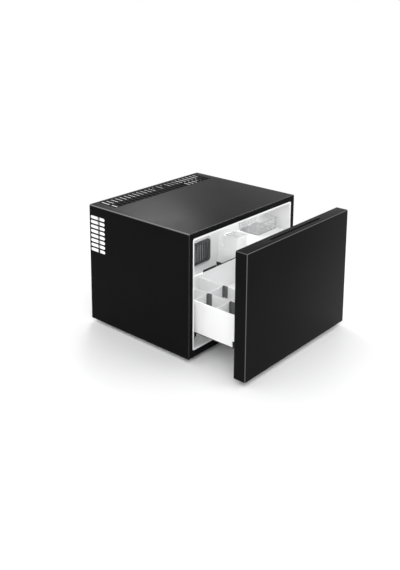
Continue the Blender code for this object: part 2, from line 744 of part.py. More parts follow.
def make_sinks():
    outline = comb_outline(
        HOT_SINK_SIZE, HOT_SINK_FRONT, HOT_SINK_FRONT + HOT_SINK_BASE, HOT_SINK_REAR, HOT_FINS, HOT_FIN)
    half = HOT_SINK_SIZE / 2
    outline_solid(
        "hot_heat_sink", [outline], "XY", COOLING_HEIGHT - half, COOLING_HEIGHT + half, cabinet, aluminium)
    outline = comb_outline(
        COLD_SINK_WIDTH, COLD_SINK_REAR, COLD_SINK_REAR - COLD_SINK_BASE, COLD_FAN_REAR + GAP,
        COLD_FINS, COLD_FIN)
    half = COLD_SINK_HEIGHT / 2
    outline_solid(
        "cold_heat_sink", [outline], "XY", COOLING_HEIGHT - half, COOLING_HEIGHT + half, cabinet, aluminium)


def make_module():
    half = MODULE_SIZE / 2
    block(
        "thermoelectric_module", (-half, half), (MODULE_FRONT, MODULE_REAR),
        (COOLING_HEIGHT - half, COOLING_HEIGHT + half), cabinet, ceramic)


# An axial fan: a square frame with a hub on four struts at its rear face, and a bladed rotor.
def make_fan(word, size, front, depth, blade_count, blade_turn):
    wall = size * FAN_WALL
    bore = size / 2 - wall
    hub = size * FAN_HUB
    strut = size * FAN_STRUT
    plate = depth * FAN_PLATE
    rear = front + depth
    half = size / 2
    frame = block(
        f"{word}_fan_frame", (-half, half), (front, rear), (COOLING_HEIGHT - half, COOLING_HEIGHT + half),
        cabinet, black_plastic)
    bevel(frame, size * FAN_CORNER, 2)
    centre = (0, (front + rear) / 2, COOLING_HEIGHT)
    cut(frame, cylinder(f"{word}_fan_bore", bore, 2 * depth, centre, "Y", cabinet, sides=40))
    struts = block_row(f"{word}_fan_strut_across", [
        ((-half + wall / 2, half - wall / 2), (rear - plate, rear - plate / 8),
         (COOLING_HEIGHT - strut / 2, COOLING_HEIGHT + strut / 2))], cabinet)
    uprights = block_row(f"{word}_fan_strut_upright", [
        ((-strut / 2, strut / 2), (rear - plate, rear - plate / 8),
         (COOLING_HEIGHT - half + wall / 2, COOLING_HEIGHT + half - wall / 2))], cabinet)
    seat = cylinder(
        f"{word}_fan_seat", hub, plate, (0, rear - plate / 2, COOLING_HEIGHT), "Y", cabinet, sides=24)
    join(frame, struts)
    join(frame, uprights)
    join(frame, seat)
    axle = frame_empty(f"{word}_fan_axle", (0, (front + rear) / 2, COOLING_HEIGHT), cabinet)
    rotor_front = front + depth * FAN_FRONT_PLAY
    rotor_rear = rear - plate - GAP
    hub_depth = rotor_rear - rotor_front
    hub_middle = (rotor_front + rotor_rear) / 2 - (front + rear) / 2
    rotor = cylinder(
        f"{word}_fan_rotor", hub, hub_depth, (0, hub_middle, 0), "Y", axle, black_plastic, sides=24)
    blades = bmesh.new()
    root = hub * FAN_BLADE_ROOT
    span = bore - root - wall
    chord = min(hub * FAN_CHORD, hub_depth / sin(blade_turn) * FAN_CHORD_FILL)
    for index in range(blade_count):
        flat = Matrix.Diagonal((chord, size * FAN_BLADE, span, 1))
        pitch = Matrix.Rotation(blade_turn, 4, "Z")
        out = Matrix.Translation((0, hub_middle, root + span / 2))
        spin = Matrix.Rotation(2 * pi * index / blade_count, 4, "Y")
        bmesh.ops.create_cube(blades, size=1, matrix=spin @ out @ pitch @ flat)
    mesh = bpy.data.meshes.new(f"{word}_fan_blades")
    blades.to_mesh(mesh)
    blades.free()
    ring = bpy.data.objects.new(f"{word}_fan_blades", mesh)
    parts.objects.link(ring)
    place(ring, f"{word}_fan_blades", axle)
    join(rotor, ring)


def make_louvre():
    half_x = LOUVRE_WIDTH / 2
    half_z = LOUVRE_HEIGHT / 2
    low = COOLING_HEIGHT - half_z
    high = COOLING_HEIGHT + half_z
    outer = rounded((-half_x, half_x), (low, high), LOUVRE_CORNER)
    louvre = outline_solid(
        "air_louvre", [outer], "XZ", LOUVRE_FRONT, LINER_DEPTH - GAP, cabinet, dark_plastic)
    wall = LOUVRE_WALL
    pocket = rounded((-half_x + wall, half_x - wall), (low + wall, high - wall), LOUVRE_CORNER - wall)
    cut(louvre, outline_solid(
        "louvre_pocket", [pocket], "XZ", LOUVRE_FRONT + wall, LINER_DEPTH + wall, cabinet))
    slots = []
    for index in range(LOUVRE_SLOTS):
        middle = (index - (LOUVRE_SLOTS - 1) / 2) * LOUVRE_SLOT_PITCH
        slots.append((
            (middle - LOUVRE_SLOT_WIDTH / 2, middle + LOUVRE_SLOT_WIDTH / 2),
            (LOUVRE_FRONT - wall, LOUVRE_FRONT + 2 * wall),
            (COOLING_HEIGHT - LOUVRE_SLOT_HEIGHT / 2, COOLING_HEIGHT + LOUVRE_SLOT_HEIGHT / 2),
        ))
    cut(louvre, block_row("louvre_slots", slots, cabinet))
    inner = rounded((-half_x - GAP, half_x + GAP), (low - GAP, high + GAP), LOUVRE_CORNER + GAP)
    band = BEZEL_BAND + GAP
    around = rounded((-half_x - band, half_x + band), (low - band, high + band), LOUVRE_CORNER + band)
    outline_solid(
        "louvre_bezel", [around, inner], "XZ", LINER_DEPTH - BEZEL_STANDOFF, LINER_DEPTH - GAP, cabinet,
        white_plastic)


def make_shroud():
    half = SHROUD_WIDTH / 2
    shroud = block(
        "air_shroud", (-half, half), (HOT_SINK_FRONT, SHROUD_REAR), (SHROUD_BOTTOM, SHROUD_TOP),
        cabinet, black_plastic)
    inside = block(
        "shroud_inside", (-half + SHROUD_WALL, half - SHROUD_WALL),
        (HOT_SINK_FRONT - SHROUD_WALL, SHROUD_REAR - SHROUD_WALL),
        (SHROUD_BOTTOM + SHROUD_WALL, SHROUD_TOP + SHROUD_WALL), cabinet)
    cut(shroud, inside)
    centre = (0, SHROUD_REAR, COOLING_HEIGHT)
    cut(shroud, cylinder(
        "shroud_inlet", SHROUD_INLET_RADIUS, 4 * SHROUD_WALL, centre, "Y", cabinet, sides=40))


def make_guard():
    y = SHROUD_REAR + GAP + GUARD_WIRE
    bpy.ops.mesh.primitive_torus_add(
        major_radius=GUARD_RINGS[-1], minor_radius=GUARD_WIRE, major_segments=36, minor_segments=6,
        location=(0, y, COOLING_HEIGHT))
    guard = bpy.context.object
    guard.data.transform(Matrix.Rotation(pi / 2, 4, "X"))
    smooth(guard)
    place(guard, "fan_guard", cabinet, black_steel)
    for index, angle in enumerate((pi / 4, 3 * pi / 4)):
        bpy.ops.mesh.primitive_cylinder_add(
            vertices=8, radius=GUARD_SPOKE_WIRE, depth=2 * GUARD_SPOKE, location=(0, y, COOLING_HEIGHT))
        spoke = bpy.context.object
        spoke.data.transform(Matrix.Rotation(angle, 4, "Y"))
        join(guard, place(spoke, f"guard_spoke_{index + 1}", cabinet))
    for index, radius in enumerate(GUARD_RINGS[:-1]):
        bpy.ops.mesh.primitive_torus_add(
            major_radius=radius, minor_radius=GUARD_WIRE, major_segments=28, minor_segments=6,
            location=(0, y, COOLING_HEIGHT))
        ring = bpy.context.object
        ring.data.transform(Matrix.Rotation(pi / 2, 4, "X"))
        join(guard, place(ring, f"guard_ring_{index + 1}", cabinet))


def make_power_supply():
    front = BULKHEAD_REAR + GAP
    box = block(
        "power_supply_box", (-BOX_WIDTH / 2, BOX_WIDTH / 2), (front, front + BOX_DEPTH),
        (INSIDE_LOW, INSIDE_LOW + BOX_HEIGHT), cabinet, zinc_steel)
    bevel(box, BOX_EDGE, 2)
    face = front + BOX_DEPTH + GAP
    z = INSIDE_LOW + BOX_HEIGHT / 2
    inlet = block(
        "mains_inlet", (INLET_OFFSET - INLET_WIDTH / 2, INLET_OFFSET + INLET_WIDTH / 2),
        (face, face + INLET_DEPTH), (z - INLET_HEIGHT / 2, z + INLET_HEIGHT / 2), cabinet, black_plastic)
    bevel(inlet, INLET_EDGE, 2)
    floor = face + INLET_DEPTH - SOCKET_DEPTH
    cut(inlet, block(
        "socket", (INLET_OFFSET - SOCKET_WIDTH / 2, INLET_OFFSET + SOCKET_WIDTH / 2),
        (floor, face + 2 * INLET_DEPTH), (z - SOCKET_HEIGHT / 2, z + SOCKET_HEIGHT / 2), cabinet))
    pins = []
    for index in (-1, 0, 1):
        x = INLET_OFFSET + index * PIN_PITCH
        rise = z + (PIN_RISE if index == 0 else -PIN_RISE)
        pins.append((
            (x - PIN_WIDTH / 2, x + PIN_WIDTH / 2), (floor - PIN_ROOT, floor + PIN_LENGTH),
            (rise - PIN_HEIGHT / 2, rise + PIN_HEIGHT / 2)))
    join(inlet, block_row("socket_pins", pins, cabinet))


def make_light():
    lens = block(
        "light_lens", (-LENS_WIDTH / 2, LENS_WIDTH / 2), (LENS_FROM_FRONT, LENS_FROM_FRONT + LENS_DEPTH),
        (LINER_CEILING - GAP - LENS_THICKNESS, LINER_CEILING - GAP), cabinet, clear_plastic)
    bevel(lens, LENS_EDGE, 2)


# Runners, seen from the front. Each is an outline on one side, swept along the depth.


def fixed_rail_outline(side):
    wall = LINER_INSIDE_X - GAP
    sheet = RAIL_SHEET
    points = [
        (wall, RAIL_FLANGE_LOW), (wall, RAIL_FLANGE_HIGH), (wall - sheet, RAIL_FLANGE_HIGH),
        (wall - sheet, RAIL_SHELF + sheet), (RAIL_WEB_X, RAIL_SHELF + sheet), (RAIL_WEB_X, RAIL_WEB_TOP),
        (RAIL_WEB_X - sheet, RAIL_WEB_TOP), (RAIL_WEB_X - sheet, RAIL_SHELF), (wall - sheet, RAIL_SHELF),
        (wall - sheet, RAIL_FLANGE_LOW),
    ]
    return [(side * x, z) for x, z in points]


# A channel that hangs over what it rides on, between outer and inner, with an optional flange.
def channel_outline(side, outer, inner, top, flange=None):
    sheet = SLIDE_SHEET
    points = [
        (outer, SLIDE_LEG_LOW), (outer, top), (inner, top), (inner, SLIDE_LEG_LOW),
        (inner + sheet, SLIDE_LEG_LOW), (inner + sheet, top - sheet), (outer - sheet, top - sheet),
        (outer - sheet, SLIDE_LEG_LOW),
    ]
    if flange is not None:
        points[2:3] = [(flange, top), (flange, top - sheet), (inner, top - sheet)]
    return [(side * x, z) for x, z in points]


def make_slides():
    middle_outer = RAIL_WEB_X + GAP + SLIDE_SHEET
    middle_inner = RAIL_WEB_X - RAIL_SHEET - GAP - SLIDE_SHEET
    inner_outer = middle_outer + GAP + SLIDE_SHEET
    inner_inner = middle_inner - GAP - SLIDE_SHEET
    start = RAIL_START
    end = RAIL_START + RAIL_LENGTH
    for side, word in ((-1, "left"), (1, "right")):
        rail = outline_solid(
            f"slide_fixed_{word}", [fixed_rail_outline(side)], "XZ", start, end, cabinet, black_steel)
        across = sorted((side * (RAIL_WEB_X + SLIDE_INSET), side * STOP_OUTER_X))
        stop = block(
            f"rail_stop_{word}", across, (start + GAP, start + STOP_LENGTH), (STOP_LOW, STOP_HIGH), cabinet)
        join(rail, stop)
        outline_solid(
            f"slide_middle_{word}", [channel_outline(side, middle_outer, middle_inner, SLIDE_MIDDLE_TOP)],
            "XZ", start + SLIDE_INSET, end - SLIDE_INSET, slide_middle, black_steel)
        outline = channel_outline(side, inner_outer, inner_inner, SLIDE_INNER_TOP, SLIDE_FLANGE_X)
        outline_solid(
            f"slide_inner_{word}", [outline], "XZ", start + SLIDE_INSET, end - SLIDE_INSET, drawer,
            black_steel)


# Door


def make_door_skin():
    skin = open_box(
        "door_skin", (-DOOR_WIDTH / 2, DOOR_WIDTH / 2), (DOOR_FRONT, DOOR_BACK), (DOOR_BOTTOM, DOOR_TOP),
        "back", drawer, black_paint)
    bevel(skin, DOOR_RADIUS, 4)
    solidify(skin, DOOR_SKIN)
    smooth(skin)
    outline = trough_outline(0)
    cut(skin, outline_solid(
        "trough_mouth", [outline], "XY", DOOR_TOP - 3 * DOOR_SKIN, DOOR_TOP + DOOR_SKIN, drawer))


def trough_outline(grow):
    rear = DOOR_BACK - TROUGH_FROM_BACK
    middle = rear - TROUGH_WIDTH / 2
    return slot_outline((0, middle), TROUGH_LENGTH + 2 * grow, TROUGH_WIDTH + 2 * grow, 6)


def make_trough():
    top = DOOR_TOP - DOOR_SKIN - GAP
    low = top - TROUGH_DEPTH
    trough = outline_solid(
        "handle_trough", [trough_outline(TROUGH_WALL)], "XY", low, top, drawer, black_plastic)
    cut(trough, outline_solid(
        "trough_hollow", [trough_outline(0)], "XY", low + TROUGH_WALL, top + TROUGH_WALL, drawer))


def plug_x():
    return DOOR_WIDTH / 2 - DOOR_SKIN - GAP - LEDGE_WIDTH


# One sheet: a flat ledge for the gasket round a raised plug, then given its thickness.
def make_door_liner():
    half_x = DOOR_WIDTH / 2 - DOOR_SKIN - GAP
    low = DOOR_BOTTOM + DOOR_SKIN + GAP
    high = DOOR_TOP - DOOR_SKIN - GAP
    edge = rounded((-half_x, half_x), (low, high), DOOR_RADIUS - DOOR_SKIN)
    plug = rounded((-plug_x(), plug_x()), (low + LEDGE_WIDTH, high - LEDGE_WIDTH), PLUG_CORNER)
    pan = bmesh.new()
    loops = [
        [pan.verts.new((x, y, z)) for x, z in reversed(outline)]
        for outline, y in ((edge, DOOR_LEDGE), (plug, DOOR_LEDGE), (plug, PLUG_REACH))
    ]
    for first, second in zip(loops, loops[1:]):
        for index in range(len(first)):
            pan.faces.new((first[index - 1], first[index], second[index], second[index - 1]))
    pan.faces.new(loops[-1])
    mesh = bpy.data.meshes.new("door_liner")
    pan.to_mesh(mesh)
    pan.free()
    liner = bpy.data.objects.new("door_liner", mesh)
    parts.objects.link(liner)
    place(liner, "door_liner", drawer, white_plastic)
    solidify(liner, DOOR_LINER_WALL)


def make_door_foam():
    half_x = DOOR_WIDTH / 2 - DOOR_SKIN - GAP
    low = DOOR_BOTTOM + DOOR_SKIN + GAP
    high = DOOR_TOP - DOOR_SKIN - GAP
    rear = DOOR_LEDGE - DOOR_LINER_WALL - GAP
    foam = block(
        "door_foam", (-half_x, half_x), (DOOR_FRONT + DOOR_SKIN + GAP, rear), (low, high), drawer,
        pale_foam)
    bevel(foam, DOOR_RADIUS - DOOR_SKIN, 2)
    inset = LEDGE_WIDTH + DOOR_LINER_WALL + GAP
    plug = rounded(
        (-half_x + inset, half_x - inset), (low + inset, high - inset),
        PLUG_CORNER - DOOR_LINER_WALL - GAP)
    join(foam, outline_solid(
        "foam_plug", [plug], "XZ", rear - DOOR_LINER_WALL, PLUG_REACH - DOOR_LINER_WALL - GAP, drawer))
    top = DOOR_TOP
    bottom = DOOR_TOP - DOOR_SKIN - TROUGH_DEPTH - 2 * GAP
    cut(foam, outline_solid(
        "foam_trough", [trough_outline(TROUGH_WALL + GAP)], "XY", bottom, top, drawer))


def make_gasket():
    inner_x = plug_x() + GAP
    outer_x = inner_x + GASKET_WIDTH
    step = DOOR_SKIN + GAP + LEDGE_WIDTH - GAP
    inner_z = (DOOR_BOTTOM + step, DOOR_TOP - step)
    outer_z = (inner_z[0] - GASKET_WIDTH, inner_z[1] + GASKET_WIDTH)
    outer = rounded((-outer_x, outer_x), outer_z, GASKET_CORNER)
    inner = rectangle((-inner_x, inner_x), inner_z)
    outline_solid(
        "door_gasket", [outer, inner], "XZ", DOOR_LEDGE + GAP, -GAP, drawer, soft_vinyl)


def make_brackets():
    leg_top = SLIDE_INNER_TOP - SLIDE_SHEET - GAP
    tab_rear = PLUG_REACH + GAP + BRACKET_SHEET
    outline = [
        (PLUG_REACH + GAP, BRACKET_LOW), (PLUG_REACH + GAP, leg_top), (PLUG_REACH + BRACKET_REACH, leg_top),
        (PLUG_REACH + BRACKET_REACH, leg_top - BRACKET_SHEET), (tab_rear, leg_top - BRACKET_SHEET),
        (tab_rear, BRACKET_LOW),
    ]
    for side, word in ((-1, "left"), (1, "right")):
        near = SLIDE_FLANGE_X + GAP
        across = sorted((side * near, side * (near + BRACKET_WIDTH)))
        outline_solid(
            f"door_bracket_{word}", [outline], "YZ", across[0], across[1], drawer, black_steel)


# Basket and what stands in it


# Half width and depth range of the basket's inside at height z.
def basket_inside(z):
    lean = (z - BASKET_LOW) * tan(BASKET_TAPER)
    wall = BASKET_WALL / cos(BASKET_TAPER)
    half = BASKET_HALF_WIDTH + lean - wall
    return half, BASKET_FRONT - lean + wall, BASKET_REAR + lean - wall


def make_basket():
    middle_y = (BASKET_FRONT + BASKET_REAR) / 2
    half_y = (BASKET_REAR - BASKET_FRONT) / 2
    shell = bmesh.new()
    size = Matrix.Diagonal((BASKET_HALF_WIDTH, half_y, 1, 1))
    centre = Matrix.Translation((0, middle_y, BASKET_LOW))
    bmesh.ops.create_grid(shell, x_segments=1, y_segments=1, size=1, matrix=centre @ size)
    bmesh.ops.bevel(
        shell, geom=shell.verts[:], offset=BASKET_CORNER, segments=5, affect="VERTICES", profile=0.5)
    border = [edge for edge in shell.edges if edge.is_boundary]
    walls = bmesh.ops.extrude_edge_only(shell, edges=border)
    moved = [item for item in walls["geom"] if isinstance(item, bmesh.types.BMVert)]
    lean = (BASKET_TOP - BASKET_LOW) * tan(BASKET_TAPER)
    for vert in moved:
        vert.co.x *= (BASKET_HALF_WIDTH + lean) / BASKET_HALF_WIDTH
        vert.co.y = middle_y + (vert.co.y - middle_y) * (half_y + lean) / half_y
        vert.co.z = BASKET_TOP
    bmesh.ops.recalc_face_normals(shell, faces=shell.faces)
    mesh = bpy.data.meshes.new("basket")
    shell.to_mesh(mesh)
    shell.free()
    basket = bpy.data.objects.new("basket", mesh)
    parts.objects.link(basket)
    smooth(basket)
    place(basket, "basket", drawer, white_plastic)
    solidify(basket, BASKET_WALL)
    rim_x = BASKET_HALF_WIDTH + lean + RIM_REACH
    rim_y = half_y + lean + RIM_REACH
    outer = rounded(
        (-rim_x, rim_x), (middle_y - rim_y, middle_y + rim_y), BASKET_CORNER + RIM_REACH, 5)
    inset = RIM_REACH + RIM_OVERLAP
    inner = rounded(
        (-rim_x + inset, rim_x - inset), (middle_y - rim_y + inset, middle_y + rim_y - inset),
        BASKET_CORNER - RIM_OVERLAP, 5)
    join(basket, outline_solid(
        "basket_rim", [outer, inner], "XY", BASKET_TOP - RIM_HEIGHT, BASKET_TOP + GAP, drawer))
    for side, word in ((-1, "left"), (1, "right")):
        join(basket, skirt(side, word))
    for row in range(FLOOR_SLOT_ROWS):
        for column in range(FLOOR_SLOT_COLUMNS):
            x = (column - (FLOOR_SLOT_COLUMNS - 1) / 2) * FLOOR_SLOT_PITCH_X
            y = middle_y + (row - (FLOOR_SLOT_ROWS - 1) / 2) * FLOOR_SLOT_PITCH_Y
            name = f"floor_slot_{row + 1}_{column + 1}"
            outline = slot_outline((x, y), FLOOR_SLOT_LENGTH, FLOOR_SLOT_WIDTH, 3)
            cut(basket, outline_solid(
                name, [outline], "XY", BASKET_LOW - BASKET_WALL, BASKET_LOW + 2 * BASKET_WALL, drawer))


# A side wall's lower part, which hides the runner.
def skirt(side, word):
    drop = (SKIRT_LOW - BASKET_LOW) * tan(BASKET_TAPER)
    lift = 2 * BASKET_WALL * tan(BASKET_TAPER)
    top = BASKET_LOW + 2 * BASKET_WALL
    outer_low = BASKET_HALF_WIDTH + drop
    outer_top = BASKET_HALF_WIDTH + lift
    points = [
        (outer_low, SKIRT_LOW), (outer_top, top), (outer_top - SKIRT_WALL, top),
        (outer_low - BASKET_WALL, SKIRT_LOW),
    ]
    outline = [(side * x, z) for x, z in points]
    return outline_solid(
        f"basket_skirt_{word}", [outline], "XZ", BASKET_FRONT + SKIRT_INSET, BASKET_REAR - SKIRT_INSET,
        drawer)


def make_dividers():
    low = BASKET_FLOOR + GAP
    half_x, front, rear = basket_inside(low)
    middle = (low + DIVIDER_TOP) / 2
    half_slot = DIVIDER_THICKNESS / 2 + GAP
    long_outline_top = []
    for y in CROSS_DIVIDERS_Y:
        long_outline_top.append((y - half_slot, DIVIDER_TOP))
        long_outline_top.append((y - half_slot, middle - GAP))
        long_outline_top.append((y + half_slot, middle - GAP))
        long_outline_top.append((y + half_slot, DIVIDER_TOP))
    front_top = basket_inside(DIVIDER_TOP)[1] + GAP
    rear_top = basket_inside(DIVIDER_TOP)[2] - GAP
    outline = [(front + GAP, low), (front_top, DIVIDER_TOP)] + long_outline_top
    outline += [(rear_top, DIVIDER_TOP), (rear - GAP, low)]
    for index, x in enumerate(LONG_DIVIDERS_X):
        outline_solid(
            f"divider_long_{index + 1}", [outline], "YZ", x - DIVIDER_THICKNESS / 2,
            x + DIVIDER_THICKNESS / 2, drawer, white_plastic)
    left_low = -half_x + GAP
    left_top = -basket_inside(DIVIDER_TOP)[0] + GAP
    right = LONG_DIVIDERS_X[-1] + DIVIDER_THICKNESS / 2 + CLIP_SHORT_LEG
    outline = [(left_low, low), (left_top, DIVIDER_TOP), (right, DIVIDER_TOP), (right, low)]
    for x in reversed(LONG_DIVIDERS_X):
        outline.append((x + half_slot, low))
        outline.append((x + half_slot, middle + GAP))
        outline.append((x - half_slot, middle + GAP))
        outline.append((x - half_slot, low))
    for index, y in enumerate(CROSS_DIVIDERS_Y):
        outline_solid(
            f"divider_cross_{index + 1}", [outline], "XZ", y - DIVIDER_THICKNESS / 2,
            y + DIVIDER_THICKNESS / 2, drawer, white_plastic)


# Black corner clips that hold the dividers at each crossing, on its front left side.
def make_clips():
    number = 0
    for x in LONG_DIVIDERS_X:
        for y in CROSS_DIVIDERS_Y:
            number += 1
            corner_x = x - DIVIDER_THICKNESS / 2 - GAP
            corner_y = y - DIVIDER_THICKNESS / 2 - GAP
            outline = [
                (corner_x, corner_y), (corner_x, corner_y - CLIP_LENGTH),
                (corner_x - CLIP_THICKNESS, corner_y - CLIP_LENGTH),
                (corner_x - CLIP_THICKNESS, corner_y - CLIP_THICKNESS),
                (corner_x - CLIP_SHORT_LEG, corner_y - CLIP_THICKNESS), (corner_x - CLIP_SHORT_LEG, corner_y),
            ]
            clip = outline_solid(
                f"divider_clip_{number}", [outline], "XY", CLIP_LOW, CLIP_TOP, drawer, black_plastic)
            bevel(clip, CLIP_EDGE, 1)


# The shelf is narrow under the snack tray and deep under the clear tray. It stands in the basket
# on a post at its front left corner and on an angle along its right and rear sides.
def make_trays():
    low = BASKET_FLOOR + GAP
    wall = BRIDGE_WALL
    right = BRIDGE_LEFT + SNACK_WIDTH
    rear = SNACK_FRONT + SNACK_LENGTH
    step_x = CLEAR_LEFT - BRIDGE_MARGIN
    step_y = rear + BRIDGE_MARGIN
    plate = [
        (BRIDGE_LEFT, BRIDGE_FRONT), (BRIDGE_RIGHT, BRIDGE_FRONT), (BRIDGE_RIGHT, BRIDGE_REAR),
        (step_x, BRIDGE_REAR), (step_x, step_y), (BRIDGE_LEFT, step_y),
    ]
    bridge = outline_solid(
        "tray_bridge", [plate], "XY", BRIDGE_TOP - wall, BRIDGE_TOP, drawer, white_plastic)
    post = [
        (BRIDGE_LEFT, BRIDGE_FRONT), (BRIDGE_LEFT + BRIDGE_LEG, BRIDGE_FRONT),
        (BRIDGE_LEFT + BRIDGE_LEG, BRIDGE_FRONT + wall), (BRIDGE_LEFT + wall, BRIDGE_FRONT + wall),
        (BRIDGE_LEFT + wall, BRIDGE_FRONT + BRIDGE_LEG), (BRIDGE_LEFT, BRIDGE_FRONT + BRIDGE_LEG),
    ]
    angle = [
        (BRIDGE_RIGHT - wall, BRIDGE_FRONT), (BRIDGE_RIGHT, BRIDGE_FRONT),
        (BRIDGE_RIGHT, BRIDGE_REAR - BRIDGE_CORNER), (BRIDGE_RIGHT - BRIDGE_CORNER, BRIDGE_REAR),
        (step_x, BRIDGE_REAR), (step_x, BRIDGE_REAR - wall),
        (BRIDGE_RIGHT - BRIDGE_CORNER - BRIDGE_EDGE, BRIDGE_REAR - wall),
        (BRIDGE_RIGHT - wall, BRIDGE_REAR - BRIDGE_CORNER - BRIDGE_EDGE),
    ]
    for name, leg in (("bridge_post", post), ("bridge_angle", angle)):
        join(bridge, outline_solid(name, [leg], "XY", low, BRIDGE_TOP - wall / 2, drawer))
    bevel(bridge, BRIDGE_EDGE, 2)
    outer = rounded((BRIDGE_LEFT, right), (SNACK_FRONT, rear), SNACK_CORNER)
    snack = outline_solid("snack_tray", [outer], "XY", TRAY_LOW, TRAY_TOP, drawer, white_plastic)
    pitch = (SNACK_WIDTH - SNACK_WALL) / SNACK_POCKETS
    middle_y = (SNACK_FRONT + rear) / 2
    for index in range(SNACK_POCKETS):
        x = BRIDGE_LEFT + SNACK_WALL + index * pitch + (pitch - SNACK_WALL) / 2
        half = (pitch - SNACK_WALL) / 2
        reach = SNACK_LENGTH / 2 - SNACK_WALL
        pocket = rounded((x - half, x + half), (middle_y - reach, middle_y + reach), half - POCKET_FLAT)
        cut(snack, outline_solid(
            f"snack_pocket_{index + 1}", [pocket], "XY", TRAY_LOW + SNACK_WALL, TRAY_TOP + SNACK_WALL,
            drawer))
    outer = rounded((CLEAR_LEFT, BRIDGE_RIGHT), (CLEAR_FRONT, BRIDGE_REAR), CLEAR_CORNER, 5)
    tray = outline_solid("clear_tray", [outer], "XY", TRAY_LOW, TRAY_TOP, drawer, clear_plastic)
    wall = CLEAR_WALL
    hollow = rounded(
        (CLEAR_LEFT + wall, BRIDGE_RIGHT - wall), (CLEAR_FRONT + wall, BRIDGE_REAR - wall),
        CLEAR_CORNER - wall, 5)
    cut(tray, outline_solid(
        "tray_hollow", [hollow], "XY", TRAY_LOW + wall, TRAY_TOP + wall, drawer))


make_wrap()
make_vent_grille()
make_front_frame()
make_liner()
make_insulation()
make_bulkhead()
make_base()
make_feet()
make_posts()
make_sinks()
make_module()
make_fan("hot", HOT_FAN_SIZE, HOT_FAN_FRONT, HOT_FAN_DEPTH, HOT_FAN_BLADES, HOT_FAN_TURN)
make_fan("cold", COLD_FAN_SIZE, COLD_FAN_FRONT, COLD_FAN_DEPTH, COLD_FAN_BLADES, COLD_FAN_TURN)
make_louvre()
make_shroud()
make_guard()
make_power_supply()
make_light()
make_slides()
make_door_skin()
make_trough()
make_door_liner()
make_door_foam()
make_gasket()
make_brackets()
make_basket()
make_dividers()
make_clips()
make_trays()
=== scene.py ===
import json
from math import cos, pi, radians, sin

import bmesh
import bpy
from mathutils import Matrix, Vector

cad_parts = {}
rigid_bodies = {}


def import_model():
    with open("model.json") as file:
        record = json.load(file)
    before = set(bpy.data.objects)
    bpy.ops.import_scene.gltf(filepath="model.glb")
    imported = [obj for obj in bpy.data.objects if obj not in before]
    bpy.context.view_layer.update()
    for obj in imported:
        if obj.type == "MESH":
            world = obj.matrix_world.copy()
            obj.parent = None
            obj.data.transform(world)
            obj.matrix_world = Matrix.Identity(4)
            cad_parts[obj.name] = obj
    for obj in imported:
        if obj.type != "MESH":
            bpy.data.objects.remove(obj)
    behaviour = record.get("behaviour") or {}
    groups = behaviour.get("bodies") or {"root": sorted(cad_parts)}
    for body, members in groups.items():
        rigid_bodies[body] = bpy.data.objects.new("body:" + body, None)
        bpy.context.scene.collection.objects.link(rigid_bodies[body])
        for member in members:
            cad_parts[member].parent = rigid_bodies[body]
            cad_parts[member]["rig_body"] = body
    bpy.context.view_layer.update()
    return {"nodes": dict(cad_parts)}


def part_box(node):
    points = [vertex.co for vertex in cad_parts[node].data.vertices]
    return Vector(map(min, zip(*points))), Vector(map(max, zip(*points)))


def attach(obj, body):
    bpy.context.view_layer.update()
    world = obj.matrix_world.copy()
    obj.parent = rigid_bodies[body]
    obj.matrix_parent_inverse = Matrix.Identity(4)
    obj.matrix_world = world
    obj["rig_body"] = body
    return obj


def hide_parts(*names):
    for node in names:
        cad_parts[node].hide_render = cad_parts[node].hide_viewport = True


for old in list(bpy.data.objects):
    bpy.data.objects.remove(old, do_unlink=True)

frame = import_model()
scene = bpy.context.scene
mergeDistance = 0.00001
flatAngle = radians(0.4)                     # faces nearer to level than this become one
fanHeight = 0.164
print("frame loaded:", len(frame["nodes"]), "nodes")


# node trees from Python expressions

class Wire:                                  # one output socket, with arithmetic on it
    def __init__(self, sheet, socket):
        self.sheet = sheet
        self.socket = socket

    def reckon(self, operation, first, second):
        return self.sheet.add("ShaderNodeMath", {"operation": operation}, {0: first, 1: second})

    def __add__(self, other):
        return self.reckon("ADD", self, other)

    def __sub__(self, other):
        return self.reckon("SUBTRACT", self, other)

    def __rsub__(self, other):
        return self.reckon("SUBTRACT", other, self)

    def __mul__(self, other):
        return self.reckon("MULTIPLY", self, other)

    def __truediv__(self, other):
        return self.reckon("DIVIDE", self, other)

    __radd__ = __add__
    __rmul__ = __mul__


class Sheet:                                 # a shader or geometry tree being filled
    def __init__(self, tree):
        self.tree = tree
        tree.nodes.clear()

    def add(self, kind, settings=None, inputs=None, output=0):
        node = self.tree.nodes.new(kind)
        for name, value in (settings or {}).items():
            setattr(node, name, value)
        for key, value in (inputs or {}).items():
            for item in value if isinstance(value, list) else [value]:
                if isinstance(item, Wire):
                    self.tree.links.new(item.socket, node.inputs[key])
                else:
                    node.inputs[key].default_value = item
        return None if output is None else Wire(self, node.outputs[output])


# finishes

masks = {"up": (0.6, 0.95), "edge": (0.995, 0.80), "edgeSamples": 6, "standing": (0.1, 0.5)}


def newFinish(name):
    material = bpy.data.materials.new(name)
    material.use_nodes = True
    sheet = Sheet(material.node_tree)
    sheet.material = material
    return sheet, sheet.add("ShaderNodeTexCoord", output="Object")


def closeFinish(sheet, inputs):
    surface = sheet.add("ShaderNodeBsdfPrincipled", {}, inputs)
    sheet.add("ShaderNodeOutputMaterial", {}, {"Surface": surface}, None)
    return sheet.material


def stretched(sheet, spot, scale):
    return sheet.add("ShaderNodeMapping", {}, {"Vector": spot, "Scale": scale})


def noise(sheet, spot, scale, detail=2.0, roughness=0.5):
    return sheet.add("ShaderNodeTexNoise", {}, {
        "Vector": spot, "Scale": scale, "Detail": detail, "Roughness": roughness})


def cells(sheet, spot, scale, output="Distance"):
    return sheet.add("ShaderNodeTexVoronoi", {}, {"Vector": spot, "Scale": scale}, output)


